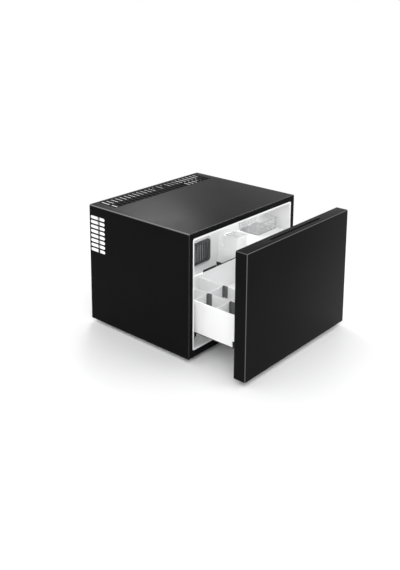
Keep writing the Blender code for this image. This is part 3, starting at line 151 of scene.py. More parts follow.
def swing(value, amount):                    # a noise about its middle
    return (value - 0.5) * amount


def between(sheet, value, low, high, start=0.0, end=1.0):
    return sheet.add("ShaderNodeMapRange", {"interpolation_type": "SMOOTHSTEP"}, {
        "Value": value, "From Min": low, "From Max": high, "To Min": start, "To Max": end})


def largest(sheet, first, *others):
    for other in others:
        first = sheet.add("ShaderNodeMath", {"operation": "MAXIMUM"}, {0: first, 1: other})
    return first


def axis(sheet, vector, number):
    return sheet.add("ShaderNodeSeparateXYZ", {}, {0: vector}, number)


def colour(value):
    return value if isinstance(value, Wire) else (*value, 1.0)


def blend(sheet, factor, first, second):
    return sheet.add("ShaderNodeMix", {"data_type": "RGBA"}, {
        0: factor, 6: colour(first), 7: colour(second)}, 2)


def relief(sheet, height, strength, depth, under=None):
    inputs = {"Strength": strength, "Distance": depth, "Height": height}
    if under is not None:
        inputs["Normal"] = under
    return sheet.add("ShaderNodeBump", {}, inputs)


def upward(sheet):                           # 1 on faces that look up
    normal = sheet.add("ShaderNodeNewGeometry", output="Normal")
    return between(sheet, axis(sheet, normal, 2), *masks["up"])


def edgeMask(sheet, radius):                 # 1 along rounded edges, 0 on flats
    soft = sheet.add("ShaderNodeBevel", {"samples": masks["edgeSamples"]}, {"Radius": radius})
    true = sheet.add("ShaderNodeNewGeometry", output="True Normal")
    same = sheet.add("ShaderNodeVectorMath", {"operation": "DOT_PRODUCT"}, {0: soft, 1: true}, 1)
    return between(sheet, same, *masks["edge"])


def foldHighlightMask(sheet, low, high, standing):  # painted highlight mask: 1 along level folds and corners, "standing" on upright ones
    normal = sheet.add("ShaderNodeNewGeometry", output="Normal")
    sizes = sheet.add("ShaderNodeVectorMath", {"operation": "ABSOLUTE"}, {0: normal})
    x, y, z = (axis(sheet, sizes, number) for number in range(3))
    folded = between(sheet, largest(sheet, x, y, z), high, low)
    return folded * between(sheet, z, *masks["standing"], standing, 1.0)


def makePaint(name, look):
    sheet, spot = newFinish(name)
    cloud = noise(sheet, spot, look["cloudScale"], detail=3)
    peel = noise(sheet, spot, look["peelScale"], detail=3, roughness=0.6)
    fleck = noise(sheet, spot, look["fleckScale"], detail=1)
    dust = noise(sheet, spot, look["dustScale"], detail=5, roughness=0.7)
    dust = upward(sheet) * between(sheet, dust, *look["dustSpan"])
    # edge wear along rounded edges, partly real wear and partly a painted highlight on those edges
    wear = edgeMask(sheet, look["edgeRadius"]) * between(sheet, cloud, *look["edgeWearAndHighlightSpan"])
    # painted highlight along level folds and fillets, blended in the worn colour below
    corner = foldHighlightMask(sheet, *look["foldHighlightSpan"])
    base = blend(sheet, cloud, look["dark"], look["light"])
    base = blend(sheet, wear * look["wear"], base, look["worn"])
    base = blend(sheet, corner * look["corner"], base, look["worn"])
    base = blend(sheet, dust * look["dust"], base, look["dusty"])
    rough = look["roughness"] + swing(cloud, look["cloudRough"]) + swing(fleck, look["fleckRough"])
    normal = relief(sheet, peel, look["peel"], look["peelDepth"])
    normal = relief(sheet, fleck, look["fleck"], look["fleckDepth"], normal)
    return closeFinish(sheet, {
        "Base Color": base, "Roughness": rough + dust * look["dustRough"], "Normal": normal,
        "Specular IOR Level": look["specular"]})


def makeMoulded(name, look):                 # injection moulded or vacuum formed plastic
    sheet, spot = newFinish(name)
    cloud = noise(sheet, spot, look["cloudScale"], detail=3)
    grain = noise(sheet, spot, look["grainScale"], detail=2, roughness=0.6)
    sag = noise(sheet, spot, look["sagScale"], detail=1)
    scuff = stretched(sheet, spot, look["scuffStretch"])
    scuff = noise(sheet, scuff, look["scuffScale"], detail=6, roughness=0.7)
    scuff = between(sheet, scuff, *look["scuffSpan"])
    base = blend(sheet, cloud, look["dark"], look["light"])
    base = blend(sheet, scuff * look["scuff"], base, look["scuffed"])
    rough = look["roughness"] + swing(cloud, look["cloudRough"]) + swing(grain, look["grainRough"])
    normal = relief(sheet, sag, look["sag"], look["sagDepth"])
    normal = relief(sheet, grain, look["grain"], look["grainDepth"], normal)
    return closeFinish(sheet, {
        "Base Color": base, "Roughness": rough + scuff * look["scuffRough"], "Normal": normal,
        "Specular IOR Level": look["specular"], "Coat Weight": look["coat"],
        "Coat Roughness": look["coatRough"]})


def makeGalvanised(name, look):
    sheet, spot = newFinish(name)
    spangle = cells(sheet, spot, look["spangleScale"], "Color")
    spangle = sheet.add("ShaderNodeSeparateColor", {}, {0: spangle})
    feather = noise(sheet, spot, look["featherScale"], detail=5, roughness=0.6)
    smear = noise(sheet, stretched(sheet, spot, look["smearStretch"]), look["smearScale"], detail=4)
    tone = spangle * look["spangle"] + feather * look["feather"]
    base = blend(sheet, tone, look["dark"], look["light"])
    base = blend(sheet, between(sheet, smear, *look["smearSpan"]) * look["smear"], base, look["smeared"])
    rough = look["roughness"] + tone * look["toneRough"] + smear * look["smearRough"]
    normal = relief(sheet, tone, look["tone"], look["toneDepth"])
    return closeFinish(sheet, {"Base Color": base, "Roughness": rough, "Metallic": 1.0, "Normal": normal})


def makeDrawn(name, look):                   # drawn or plated metal
    sheet, spot = newFinish(name)
    drawn = stretched(sheet, spot, look["drawnStretch"])
    drawn = noise(sheet, drawn, look["drawnScale"], detail=4, roughness=0.6)
    cloud = noise(sheet, spot, look["cloudScale"], detail=3)
    base = blend(sheet, drawn, look["dark"], look["light"])
    base = blend(sheet, between(sheet, cloud, *look["cloudSpan"]) * look["cloud"], base, look["dull"])
    rough = look["roughness"] + drawn * look["drawnRough"]
    normal = relief(sheet, drawn, look["drawn"], look["drawnDepth"])
    return closeFinish(sheet, {"Base Color": base, "Roughness": rough, "Metallic": 1.0, "Normal": normal})


def makeFoam(name, look):
    sheet, spot = newFinish(name)
    pores = cells(sheet, spot, look["poreScale"])
    cloud = noise(sheet, spot, look["cloudScale"], detail=4)
    base = blend(sheet, cloud, look["dark"], look["light"])
    base = blend(sheet, between(sheet, pores, *look["poreSpan"]) * look["poreShade"], base, look["pore"])
    normal = relief(sheet, pores, look["poreRelief"], look["poreDepth"])
    rough = look["roughness"] + swing(cloud, look["cloudRough"])
    return closeFinish(sheet, {"Base Color": base, "Roughness": rough, "Normal": normal})


def makeRubber(name, look):
    sheet, spot = newFinish(name)
    grain = noise(sheet, spot, look["grainScale"], detail=3, roughness=0.6)
    dust = noise(sheet, spot, look["dustScale"], detail=5, roughness=0.7)
    dust = between(sheet, dust, *look["dustSpan"])
    base = blend(sheet, grain, look["dark"], look["light"])
    base = blend(sheet, dust * look["dust"], base, look["dusty"])
    rough = look["roughness"] + dust * look["dustRough"] + swing(grain, look["grainRough"])
    normal = relief(sheet, grain, look["grain"], look["grainDepth"])
    return closeFinish(sheet, {
        "Base Color": base, "Roughness": rough, "Normal": normal,
        "Specular IOR Level": look["specular"]})


def makeClear(name, look):
    sheet, spot = newFinish(name)
    flow = noise(sheet, stretched(sheet, spot, look["flowStretch"]), look["flowScale"], detail=3)
    scratch = stretched(sheet, spot, look["scratchStretch"])
    scratch = noise(sheet, scratch, look["scratchScale"], detail=5, roughness=0.7)
    scratch = between(sheet, scratch, *look["scratchSpan"])
    base = blend(sheet, flow, look["dark"], look["light"])
    rough = look["roughness"] + flow * look["flowRough"] + scratch * look["scratchRough"]
    normal = relief(sheet, flow, look["flow"], look["flowDepth"])
    return closeFinish(sheet, {
        "Base Color": base, "Roughness": rough, "Normal": normal, "Transmission Weight": look["clear"],
        "IOR": look["bend"], "Alpha": look["alpha"]})


def makeCeramic(name, look):
    sheet, spot = newFinish(name)
    speck = noise(sheet, spot, look["speckScale"], detail=2)
    cloud = noise(sheet, spot, look["cloudScale"], detail=3)
    base = blend(sheet, speck, look["dark"], look["light"])
    rough = look["roughness"] + swing(cloud, look["cloudRough"])
    normal = relief(sheet, speck, look["speck"], look["speckDepth"])
    return closeFinish(sheet, {"Base Color": base, "Roughness": rough, "Normal": normal})


paintLook = {
    "dark": (0.0042, 0.0042, 0.0045), "light": (0.0062, 0.0062, 0.0065),
    # the light worn colour is both the edge wear and the painted highlight on edges and folds
    "worn": (0.40, 0.40, 0.404), "dusty": (0.30, 0.29, 0.28),
    "cloudScale": 7, "cloudRough": 0.10, "peelScale": 700, "peel": 0.12, "peelDepth": 0.0003,
    "fleckScale": 2600, "fleck": 0.10, "fleckDepth": 0.0001, "fleckRough": 0.08,
    "roughness": 0.33, "specular": 0.022, "edgeRadius": 0.0030,
    # the next line sets edge wear with its painted highlight, then the painted highlight along folds and
    # corners
    "wear": 0.13, "edgeWearAndHighlightSpan": (0.2, 0.6, 0.5, 1.0), "corner": 0.48, "foldHighlightSpan": (0.91, 0.985, 0.15),
    "dust": 0.01, "dustScale": 60, "dustSpan": (0.45, 0.8), "dustRough": 0.06,
}
blackLook = {
    "dark": (0.009, 0.009, 0.010), "light": (0.014, 0.014, 0.015), "scuffed": (0.06, 0.06, 0.062),
    "cloudScale": 12, "cloudRough": 0.08, "sagScale": 20, "sag": 0.02, "sagDepth": 0.002,
    "grainScale": 1500, "grain": 0.35, "grainDepth": 0.0002, "grainRough": 0.16,
    "scuff": 0.12, "scuffScale": 14, "scuffStretch": (40, 9, 40), "scuffSpan": (0.62, 0.78),
    "scuffRough": 0.12, "roughness": 0.52, "specular": 0.25, "coat": 0.0, "coatRough": 0.12,
}
whiteLook = dict(
    blackLook, dark=(0.90, 0.902, 0.904), light=(0.935, 0.936, 0.938), scuffed=(0.82, 0.825, 0.83),
    cloudScale=9, sagScale=16, sag=0.10, grainScale=1100, grain=0.10, grainRough=0.10,
    scuff=0.10, roughness=0.34, specular=0.45, coat=0.15)
zincLook = {
    "dark": (0.50, 0.50, 0.50), "light": (0.68, 0.68, 0.66), "dull": (0.42, 0.42, 0.42),
    "drawnScale": 30, "drawnStretch": (30, 30, 30), "drawn": 0.35, "drawnDepth": 0.0001,
    "drawnRough": 0.18, "cloudScale": 40, "cloudSpan": (0.55, 0.8), "cloud": 0.3, "roughness": 0.26,
}
clearLook = {
    "dark": (0.98, 0.983, 0.985), "light": (0.995, 0.997, 0.997),
    "flowScale": 2, "flowStretch": (12, 12, 40), "flow": 0.15, "flowDepth": 0.001, "flowRough": 0.05,
    "scratchScale": 20, "scratchStretch": (60, 6, 60), "scratchSpan": (0.62, 0.8), "scratchRough": 0.18,
    "roughness": 0.03, "clear": 1.0, "alpha": 0.78, "bend": 1.49,
}
rubberLook = {
    "dark": (0.010, 0.010, 0.010), "light": (0.024, 0.024, 0.024), "dusty": (0.22, 0.21, 0.20),
    "grainScale": 900, "grain": 0.35, "grainDepth": 0.0003, "grainRough": 0.1,
    "dust": 0.25, "dustScale": 70, "dustSpan": (0.5, 0.78), "dustRough": 0.15,
    "roughness": 0.66, "specular": 0.35,
}
finishLooks = {
    "cabinetPaint": (makePaint, paintLook),
    # door paint with a stronger painted highlight along its edges and fillets, upright ones included
    "doorPaint": (makePaint, dict(
        paintLook, dark=(0.0056, 0.0056, 0.0058), light=(0.0082, 0.0082, 0.0085),
        worn=(0.18, 0.18, 0.183), wear=0.3, corner=0.62, foldHighlightSpan=(0.80, 0.95, 1.0))),
    "grillePlastic": (makePaint, dict(paintLook, roughness=0.6, specular=0.02, corner=0.1, wear=0.1)),
    "blackPlastic": (makeMoulded, blackLook),
    "louvrePlastic": (makeMoulded, dict(
        blackLook, dark=(0.05, 0.051, 0.053), light=(0.08, 0.081, 0.084), roughness=0.40, scuff=0.2)),
    "clipPlastic": (makeMoulded, dict(
        blackLook, dark=(0.12, 0.122, 0.125), light=(0.16, 0.162, 0.166), specular=0.4)),
    # a greyer copy of the white plastic: painted shade on the bezel
    "bezelShadedPlastic": (makeMoulded, dict(
        whiteLook, dark=(0.62, 0.625, 0.63), light=(0.70, 0.705, 0.71), coat=0.0)),
    "whitePlastic": (makeMoulded, whiteLook),
    "linerPlastic": (makeMoulded, dict(whiteLook, roughness=0.42, coat=0.05)),
    "clearPlastic": (makeClear, clearLook),
    "lensPlastic": (makeClear, dict(
        clearLook, dark=(0.82, 0.84, 0.85), light=(0.90, 0.91, 0.92), roughness=0.35, flow=0.4,
        clear=0.6, alpha=1.0)),
    "foam": (makeFoam, {
        "dark": (0.55, 0.47, 0.30), "light": (0.74, 0.66, 0.46), "pore": (0.42, 0.35, 0.22),
        "poreScale": 520, "poreSpan": (0.35, 0.05), "poreShade": 0.5, "poreRelief": 0.6,
        "poreDepth": 0.0008, "cloudScale": 25, "cloudRough": 0.1, "roughness": 0.86}),
    "galvanisedSteel": (makeGalvanised, {
        "dark": (0.40, 0.41, 0.42), "light": (0.64, 0.65, 0.66), "smeared": (0.33, 0.33, 0.32),
        "spangleScale": 110, "spangle": 0.55, "featherScale": 320, "feather": 0.45,
        "tone": 0.25, "toneDepth": 0.0001, "toneRough": 0.16,
        "smearScale": 9, "smearStretch": (5, 60, 60), "smearSpan": (0.55, 0.85), "smear": 0.25,
        "smearRough": 0.10, "roughness": 0.28}),
    "blackSteel": (makePaint, dict(
        paintLook, dark=(0.012, 0.012, 0.013), light=(0.02, 0.02, 0.022), worn=(0.16, 0.16, 0.165),
        roughness=0.36, specular=0.4, edgeRadius=0.0005, wear=0.5, dust=0.0, peelScale=1200)),
    "aluminium": (makeDrawn, dict(
        zincLook, dark=(0.55, 0.56, 0.58), light=(0.72, 0.73, 0.75), drawnStretch=(60, 60, 3),
        roughness=0.24)),
    "zinc": (makeDrawn, zincLook),
    "modulePlate": (makeCeramic, {
        "dark": (0.70, 0.70, 0.67), "light": (0.84, 0.84, 0.81), "speckScale": 1400, "speck": 0.2,
        "speckDepth": 0.0001, "cloudScale": 90, "cloudRough": 0.2, "roughness": 0.5}),
    "footRubber": (makeRubber, rubberLook),
    "gasketVinyl": (makeRubber, dict(
        rubberLook, dark=(0.022, 0.022, 0.023), light=(0.036, 0.036, 0.038), grainScale=420,
        roughness=0.46, dust=0.05)),
}
finishes = {name: make(name, look) for name, (make, look) in finishLooks.items()}
print("finishes made:", len(finishes))


# helpers for pieces

def camel(name):
    words = name.split("_")
    return words[0] + "".join(word.capitalize() for word in words[1:])


def place(piece, finish, *nodes):            # the piece stands for these nodes
    if finish is not None:
        piece.data.materials.clear()
        piece.data.materials.append(finishes[finish])
    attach(piece, frame["nodes"][nodes[0]]["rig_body"])
    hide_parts(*nodes)
    return piece


def newPiece(name, mesh):
    piece = bpy.data.objects.new(name, mesh)
    scene.collection.objects.link(piece)
    return piece


def meshFrom(name, work, smooth=True):
    bmesh.ops.recalc_face_normals(work, faces=work.faces)
    for face in work.faces:
        face.smooth = smooth
    mesh = bpy.data.meshes.new(name)
    work.to_mesh(mesh)
    work.free()
    return mesh


def roundEdges(piece, width, segments, angle=30):
    bevel = piece.modifiers.new("edges", "BEVEL")
    bevel.width = width
    bevel.segments = segments
    bevel.limit_method = "ANGLE"
    bevel.angle_limit = radians(angle)
    bevel.miter_outer = "MITER_ARC"
    bevel.harden_normals = True


def soften(node, finish, edge, segments=2):  # the node's own shape with real edges
    mesh = frame["nodes"][node].data.copy()
    mesh.name = camel(node)
    if "custom_normal" in mesh.attributes:
        mesh.attributes.remove(mesh.attributes["custom_normal"])
    work = bmesh.new()
    work.from_mesh(mesh)
    bmesh.ops.remove_doubles(work, verts=work.verts, dist=mergeDistance)
    bmesh.ops.dissolve_limit(work, angle_limit=flatAngle, verts=work.verts, edges=work.edges)
    for name, values in holeLines.get(node, {}).items():
        for value in values:
            across = Vector([float(letter == name) for letter in "xyz"])
            bmesh.ops.bisect_plane(
                work, geom=work.verts[:] + work.edges[:] + work.faces[:], dist=mergeDistance / 10,
                plane_co=across * value, plane_no=across)
    for face in work.faces:
        face.smooth = True
    work.to_mesh(mesh)
    work.free()
    piece = newPiece(camel(node), mesh)
    roundEdges(piece, edge, segments)
    return place(piece, finish, node)


def newGrowth(name, inputs):                 # a geometry tree and its named inputs
    tree = bpy.data.node_groups.new(name, "GeometryNodeTree")
    tree.interface.new_socket("Geometry", in_out="INPUT", socket_type="NodeSocketGeometry")
    for label, kind in inputs.items():
        tree.interface.new_socket(label, in_out="INPUT", socket_type="NodeSocket" + kind)
    tree.interface.new_socket("Geometry", in_out="OUTPUT", socket_type="NodeSocketGeometry")
    sheet = Sheet(tree)
    start = tree.nodes.new("NodeGroupInput")
    wires = {socket.name: Wire(sheet, socket) for socket in start.outputs if socket.name}
    return sheet, wires


def closeGrowth(sheet, geometry, finish, smooth=True):
    whole = sheet.add("GeometryNodeRealizeInstances", {}, {"Geometry": geometry})
    shaded = sheet.add("GeometryNodeSetShadeSmooth", {}, {"Geometry": whole, "Shade Smooth": smooth})
    painted = sheet.add("GeometryNodeSetMaterial", {}, {"Geometry": shaded, "Material": finish})
    sheet.add("NodeGroupOutput", {}, {"Geometry": painted}, None)


def vector(sheet, x=0.0, y=0.0, z=0.0):
    return sheet.add("ShaderNodeCombineXYZ", {}, {0: x, 1: y, 2: z})


def joined(sheet, *shapes):
    return sheet.add("GeometryNodeJoinGeometry", {}, {"Geometry": list(shapes)})


def moved(sheet, shape, by=(0, 0, 0), turned=(0, 0, 0)):
    return sheet.add("GeometryNodeTransform", {}, {
        "Geometry": shape, "Translation": by, "Rotation": turned})


def grow(name, tree, values, host=None):     # runs a tree once and keeps its mesh
    holder = newPiece(name + "Host", host or bpy.data.meshes.new(name + "Host"))
    modifier = holder.modifiers.new("growth", "NODES")
    modifier.node_group = tree
    for item in tree.interface.items_tree:
        if item.in_out == "INPUT" and item.name in values:
            modifier[item.identifier] = values[item.name]
    ready = holder.evaluated_get(bpy.context.evaluated_depsgraph_get())
    mesh = bpy.data.meshes.new_from_object(ready)
    mesh.name = name
    bpy.data.objects.remove(holder, do_unlink=True)
    return newPiece(name, mesh)


def spread(middle, pitch, count):            # evenly spaced values round a middle
    return [middle + (index - (count - 1) / 2) * pitch for index in range(count)]


# Faces with holes are split on these lines, most of them through the holes' middles.
holeLines = {
    "outer_wrap": {"z": spread(0.3198, 0.016, 8), "x": [0.0]},
    "vent_grille": {"x": spread(0.0, 0.020, 24)},
    "air_louvre": {"x": spread(0.0, 0.010, 35)},
    "base_plate": {"y": [-0.09, 0.276, 0.298]},
    "inner_liner": {"z": [fanHeight]},
    "insulation": {"z": [fanHeight]},
    "rear_bulkhead": {"z": [fanHeight]},
    "front_frame": {"x": [0.0]},
    "louvre_bezel": {"x": [0.0]},
    "hot_fan_frame": {"x": [0.0], "z": [fanHeight]},
    "cold_fan_frame": {"x": [0.0], "z": [fanHeight]},
    "air_shroud": {"x": [0.0]},
    "basket": {"y": spread(-0.1269, 0.085, 3)},
    "door_skin": {"x": [0.0]},
    "door_foam": {"x": [0.0]},
}

# cabinet

cabinetEdges = {
    "outer_wrap": ("cabinetPaint", 0.0005, 2), "front_frame": ("cabinetPaint", 0.0006, 3),
    "vent_grille": ("grillePlastic", 0.0005, 2), "inner_liner": ("linerPlastic", 0.0012, 3),
    "insulation": ("foam", 0.0008, 1), "rear_bulkhead": ("galvanisedSteel", 0.0003, 1),
    "base_plate": ("galvanisedSteel", 0.0003, 1), "rear_post_left": ("galvanisedSteel", 0.0003, 1),
    "rear_post_right": ("galvanisedSteel", 0.0003, 1),
}
for node, (finish, edge, segments) in cabinetEdges.items():
    soften(node, finish, edge, segments)

# The rear row's bars, and more so those near the grille's two ends, let light through at a slant.
ventBars = {"under": 0.0030, "endUnder": 0.0024, "rim": 0.0035, "rib": 0.271, "left": -0.216, "right": 0.125}


def thinBars():
    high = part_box("vent_grille")[1].z
    for vertex in bpy.data.objects["ventGrille"].data.vertices:
        x, y, z = vertex.co
        end = not ventBars["left"] < x < ventBars["right"]
        if z < high - ventBars["rim"] and (end or y > ventBars["rib"]):
            vertex.co.z = high - ventBars["endUnder" if end else "under"]


thinBars()

foot = {
    "sides": 48, "sole": 0.0015, "soleFlat": 0.0024, "soleRise": 0.0004,
    "ribs": 3, "ribLow": 0.002, "ribMargin": 0.004, "ribDepth": 0.0006, "ribShares": (0.55, 0.7, 0.9),
    "shoulder": 0.0012, "seat": 0.0132, "stud": 0.003, "corner": 0.0005, "edge": 0.0003,
}


def makeFoot(node):
    low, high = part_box(node)
    radius = (high.x - low.x) / 2
    seat, stud, corner = foot["seat"], foot["stud"], foot["corner"]
    waist = radius - foot["ribDepth"]
    rise = (seat - foot["ribMargin"]) / foot["ribs"]
    line = [(0, low.z), (radius - foot["soleFlat"], low.z), (radius - foot["sole"], low.z + foot["soleRise"])]
    for index in range(foot["ribs"]):
        z = low.z + foot["ribLow"] + index * rise
        top, dip, end = (z + rise * share for share in foot["ribShares"])
        line += [(radius, z), (radius, top), (waist, dip), (waist, end)]
    line += [
        (radius, seat - foot["shoulder"]), (radius - corner, seat), (stud, seat),
        (stud, high.z - corner), (stud - corner, high.z), (0, high.z)]
    work = bmesh.new()
    verts = [work.verts.new((r, 0, z)) for r, z in line]
    edges = [work.edges.new(pair) for pair in zip(verts, verts[1:])]
    bmesh.ops.spin(
        work, geom=verts + edges, axis=(0, 0, 1), cent=(0, 0, 0), steps=foot["sides"], angle=2 * pi)
    bmesh.ops.remove_doubles(work, verts=work.verts, dist=mergeDistance)
    centre = (low + high) / 2
    bmesh.ops.translate(work, verts=work.verts, vec=(centre.x, centre.y, 0))
    piece = newPiece(camel(node), meshFrom(camel(node), work))
    roundEdges(piece, foot["edge"], 1, angle=35)
    place(piece, "footRubber", node)


for number in range(1, 5):
    makeFoot(f"foot_{number}")
print("cabinet dressed")


# cooling unit

coolingEdges = {
    "air_shroud": ("blackPlastic", 0.0008, 2), "hot_heat_sink": ("aluminium", 0.0004, 1),
    "cold_heat_sink": ("aluminium", 0.0003, 1), "hot_fan_frame": ("blackPlastic", 0.0006, 2),
    "cold_fan_frame": ("blackPlastic", 0.0004, 2), "thermoelectric_module": ("modulePlate", 0.0003, 1),
    "air_louvre": ("louvrePlastic", 0.0006, 2), "louvre_bezel": ("bezelShadedPlastic", 0.0012, 3),
    "power_supply_box": ("galvanisedSteel", 0.0004, 1), "mains_inlet": ("blackPlastic", 0.0003, 2),
    "light_lens": ("lensPlastic", 0.0004, 2),
}
for node, (finish, edge, segments) in coolingEdges.items():
    soften(node, finish, edge, segments)

fan = {
    "blades": 7, "along": 9, "across": 8, "root": 0.96, "hub": 0.2, "tip": 0.45,
    "sweep": 0.55, "spread": 0.40, "pitch": 0.82, "camber": 0.35, "camberTop": 0.12, "camberFall": 0.5,
    "taper": 0.12, "thickness": 0.0012, "sides": 48, "rim": 0.0014, "play": 0.0002, "edge": 0.0003,
}


def fanTree():
    sheet, given = newGrowth("fanRotor", {
        "Blades": "Int", "Hub Radius": "Float", "Tip Radius": "Float", "Depth": "Float",
        "Centre": "Vector", "Sweep": "Float", "Spread": "Float", "Thickness": "Float", "Rim": "Float",
        "Finish": "Material"})
    flat = sheet.add("GeometryNodeMeshGrid", {}, {
        "Size X": 1.0, "Size Y": 1.0, "Vertices X": fan["along"], "Vertices Y": fan["across"]})
    point = sheet.add("GeometryNodeInputPosition")
    along = axis(sheet, point, 0) + 0.5
    across = axis(sheet, point, 1)
    root = given["Hub Radius"] * fan["root"]
    radius = root + along * (given["Tip Radius"] - root)
    angle = along * given["Sweep"] + across * given["Spread"] * 2
    camber = fan["camberTop"] - across * across * fan["camberFall"]
    axial = given["Depth"] * (across * fan["pitch"] + camber * fan["camber"]) * (1 - along * fan["taper"])
    cosine = sheet.add("ShaderNodeMath", {"operation": "COSINE"}, {0: angle})
    sine = sheet.add("ShaderNodeMath", {"operation": "SINE"}, {0: angle})
    bent = vector(sheet, radius * cosine, axial, radius * sine)
    blade = sheet.add("GeometryNodeSetPosition", {}, {"Geometry": flat, "Position": bent})
    thick = sheet.add("GeometryNodeExtrudeMesh", {}, {
        "Mesh": blade, "Offset Scale": given["Thickness"], "Individual": False})
    under = sheet.add("GeometryNodeFlipFaces", {}, {"Mesh": blade})
    closed = sheet.add("GeometryNodeMergeByDistance", {}, {
        "Geometry": joined(sheet, thick, under), "Distance": mergeDistance})
    index = sheet.add("GeometryNodeInputIndex")
    turn = vector(sheet, y=index * (2 * pi) / given["Blades"])
    ring = sheet.add("GeometryNodeInstanceOnPoints", {}, {
        "Points": sheet.add("GeometryNodePoints", {}, {"Count": given["Blades"]}),
        "Instance": closed, "Rotation": sheet.add("FunctionNodeEulerToRotation", {}, {0: turn})})
    drum = sheet.add("GeometryNodeMeshCylinder", {}, {
        "Vertices": fan["sides"], "Radius": given["Hub Radius"], "Depth": given["Depth"]})
    cap = sheet.add("GeometryNodeMeshCylinder", {}, {
        "Vertices": fan["sides"], "Radius": given["Hub Radius"] - given["Rim"],
        "Depth": given["Rim"] * 2})
    cap = moved(sheet, cap, by=vector(sheet, z=given["Depth"] / 2))
    hub = moved(sheet, joined(sheet, drum, cap), turned=(pi / 2, 0, 0))
    both = sheet.add("GeometryNodeRealizeInstances", {}, {"Geometry": joined(sheet, ring, hub)})
    closeGrowth(sheet, moved(sheet, both, by=given["Centre"]), given["Finish"], False)
    return sheet.tree


rotorTree = fanTree()


def makeRotor(word):
    low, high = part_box(f"{word}_fan_rotor")
    frameLow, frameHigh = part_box(f"{word}_fan_frame")
    size = frameHigh.x - frameLow.x
    depth = high.y - low.y - fan["rim"] - fan["play"]
    centre = Vector(((low.x + high.x) / 2, low.y + fan["rim"] + depth / 2, (frameLow.z + frameHigh.z) / 2))
    piece = grow(f"{word}FanRotor", rotorTree, {
        "Blades": fan["blades"], "Hub Radius": size * fan["hub"], "Tip Radius": size * fan["tip"],
        "Depth": depth, "Centre": centre, "Sweep": fan["sweep"], "Spread": fan["spread"],
        "Thickness": fan["thickness"], "Rim": fan["rim"], "Finish": finishes["blackPlastic"]})
    roundEdges(piece, fan["edge"], 1, angle=40)
    place(piece, None, f"{word}_fan_rotor")


for word in ("hot", "cold"):
    makeRotor(word)

guard = {
    "rings": 6, "innerRadius": 0.010, "outerRadius": 0.0455, "spokes": 4, "reach": 0.0495,
    "wire": 0.0009, "sides": 10, "ringSteps": 72,
}


def guardTree():
    sheet, given = newGrowth("wireGuard", {
        "Rings": "Int", "Inner Radius": "Float", "Outer Radius": "Float", "Spokes": "Int",
        "Reach": "Float", "Wire": "Float", "Sides": "Int", "Centre": "Vector", "Finish": "Material"})
    index = sheet.add("GeometryNodeInputIndex")
    step = (given["Outer Radius"] - given["Inner Radius"]) / (given["Rings"] - 1)
    radius = given["Inner Radius"] + index * step
    rings = sheet.add("GeometryNodeInstanceOnPoints", {}, {
        "Points": sheet.add("GeometryNodePoints", {}, {"Count": given["Rings"]}),
        "Instance": sheet.add("GeometryNodeCurvePrimitiveCircle", {}, {
            "Resolution": guard["ringSteps"], "Radius": 1.0}),
        "Scale": vector(sheet, radius, radius, 1.0)})
    start, end = vector(sheet, given["Inner Radius"]), vector(sheet, given["Reach"])
    turn = vector(sheet, z=(index + 0.5) * (2 * pi) / given["Spokes"])
    spokes = sheet.add("GeometryNodeInstanceOnPoints", {}, {
        "Points": sheet.add("GeometryNodePoints", {}, {"Count": given["Spokes"]}),
        "Instance": sheet.add("GeometryNodeCurvePrimitiveLine", {}, {"Start": start, "End": end}),
        "Rotation": sheet.add("FunctionNodeEulerToRotation", {}, {0: turn})})
    lines = sheet.add("GeometryNodeRealizeInstances", {}, {"Geometry": joined(sheet, rings, spokes)})
    wires = sheet.add("GeometryNodeCurveToMesh", {}, {
        "Curve": lines, "Fill Caps": True,
        "Profile Curve": sheet.add("GeometryNodeCurvePrimitiveCircle", {}, {
            "Resolution": given["Sides"], "Radius": given["Wire"]})})
    stood = moved(sheet, wires, by=given["Centre"], turned=(pi / 2, 0, 0))
    closeGrowth(sheet, stood, given["Finish"])
    return sheet.tree


def makeGuard():
    low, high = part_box("fan_guard")
    piece = grow("fanGuard", guardTree(), {
        "Rings": guard["rings"], "Inner Radius": guard["innerRadius"], "Spokes": guard["spokes"],
        "Outer Radius": guard["outerRadius"], "Reach": guard["reach"], "Wire": guard["wire"],
        "Sides": guard["sides"], "Centre": (low + high) / 2, "Finish": finishes["blackSteel"]})
    place(piece, None, "fan_guard")


makeGuard()
print("cooling unit dressed")


# runners and door

runnerEdges = {
    f"slide_{kind}_{side}": ("blackSteel", 0.0003, 2)
    for kind in ("fixed", "middle", "inner") for side in ("left", "right")
}
doorEdges = {
    "door_skin": ("doorPaint", 0.0004, 2), "door_foam": ("foam", 0.0006, 1),
    "door_liner": ("linerPlastic", 0.0008, 2), "handle_trough": ("blackPlastic", 0.0005, 2),
    "door_bracket_left": ("blackSteel", 0.0003, 2), "door_bracket_right": ("blackSteel", 0.0003, 2),
}
for node, (finish, edge, segments) in {**runnerEdges, **doorEdges}.items():
    soften(node, finish, edge, segments)

gasket = {
    "corner": 0.006, "cornerSteps": 8, "width": 0.018, "edge": 0.0003,
    # across from the plug, then up from the ledge to the magnet's face, both as shares
    "profile": [
        (0.10, 0.0), (0.90, 0.0), (0.90, 0.12), (0.74, 0.20), (0.86, 0.34), (0.74, 0.48), (0.95, 0.58),
        (1.0, 0.70), (0.98, 0.92), (0.88, 1.0), (0.12, 1.0), (0.02, 0.92), (0.0, 0.70), (0.05, 0.58),
        (0.26, 0.48), (0.14, 0.34), (0.26, 0.20), (0.10, 0.12)],
}


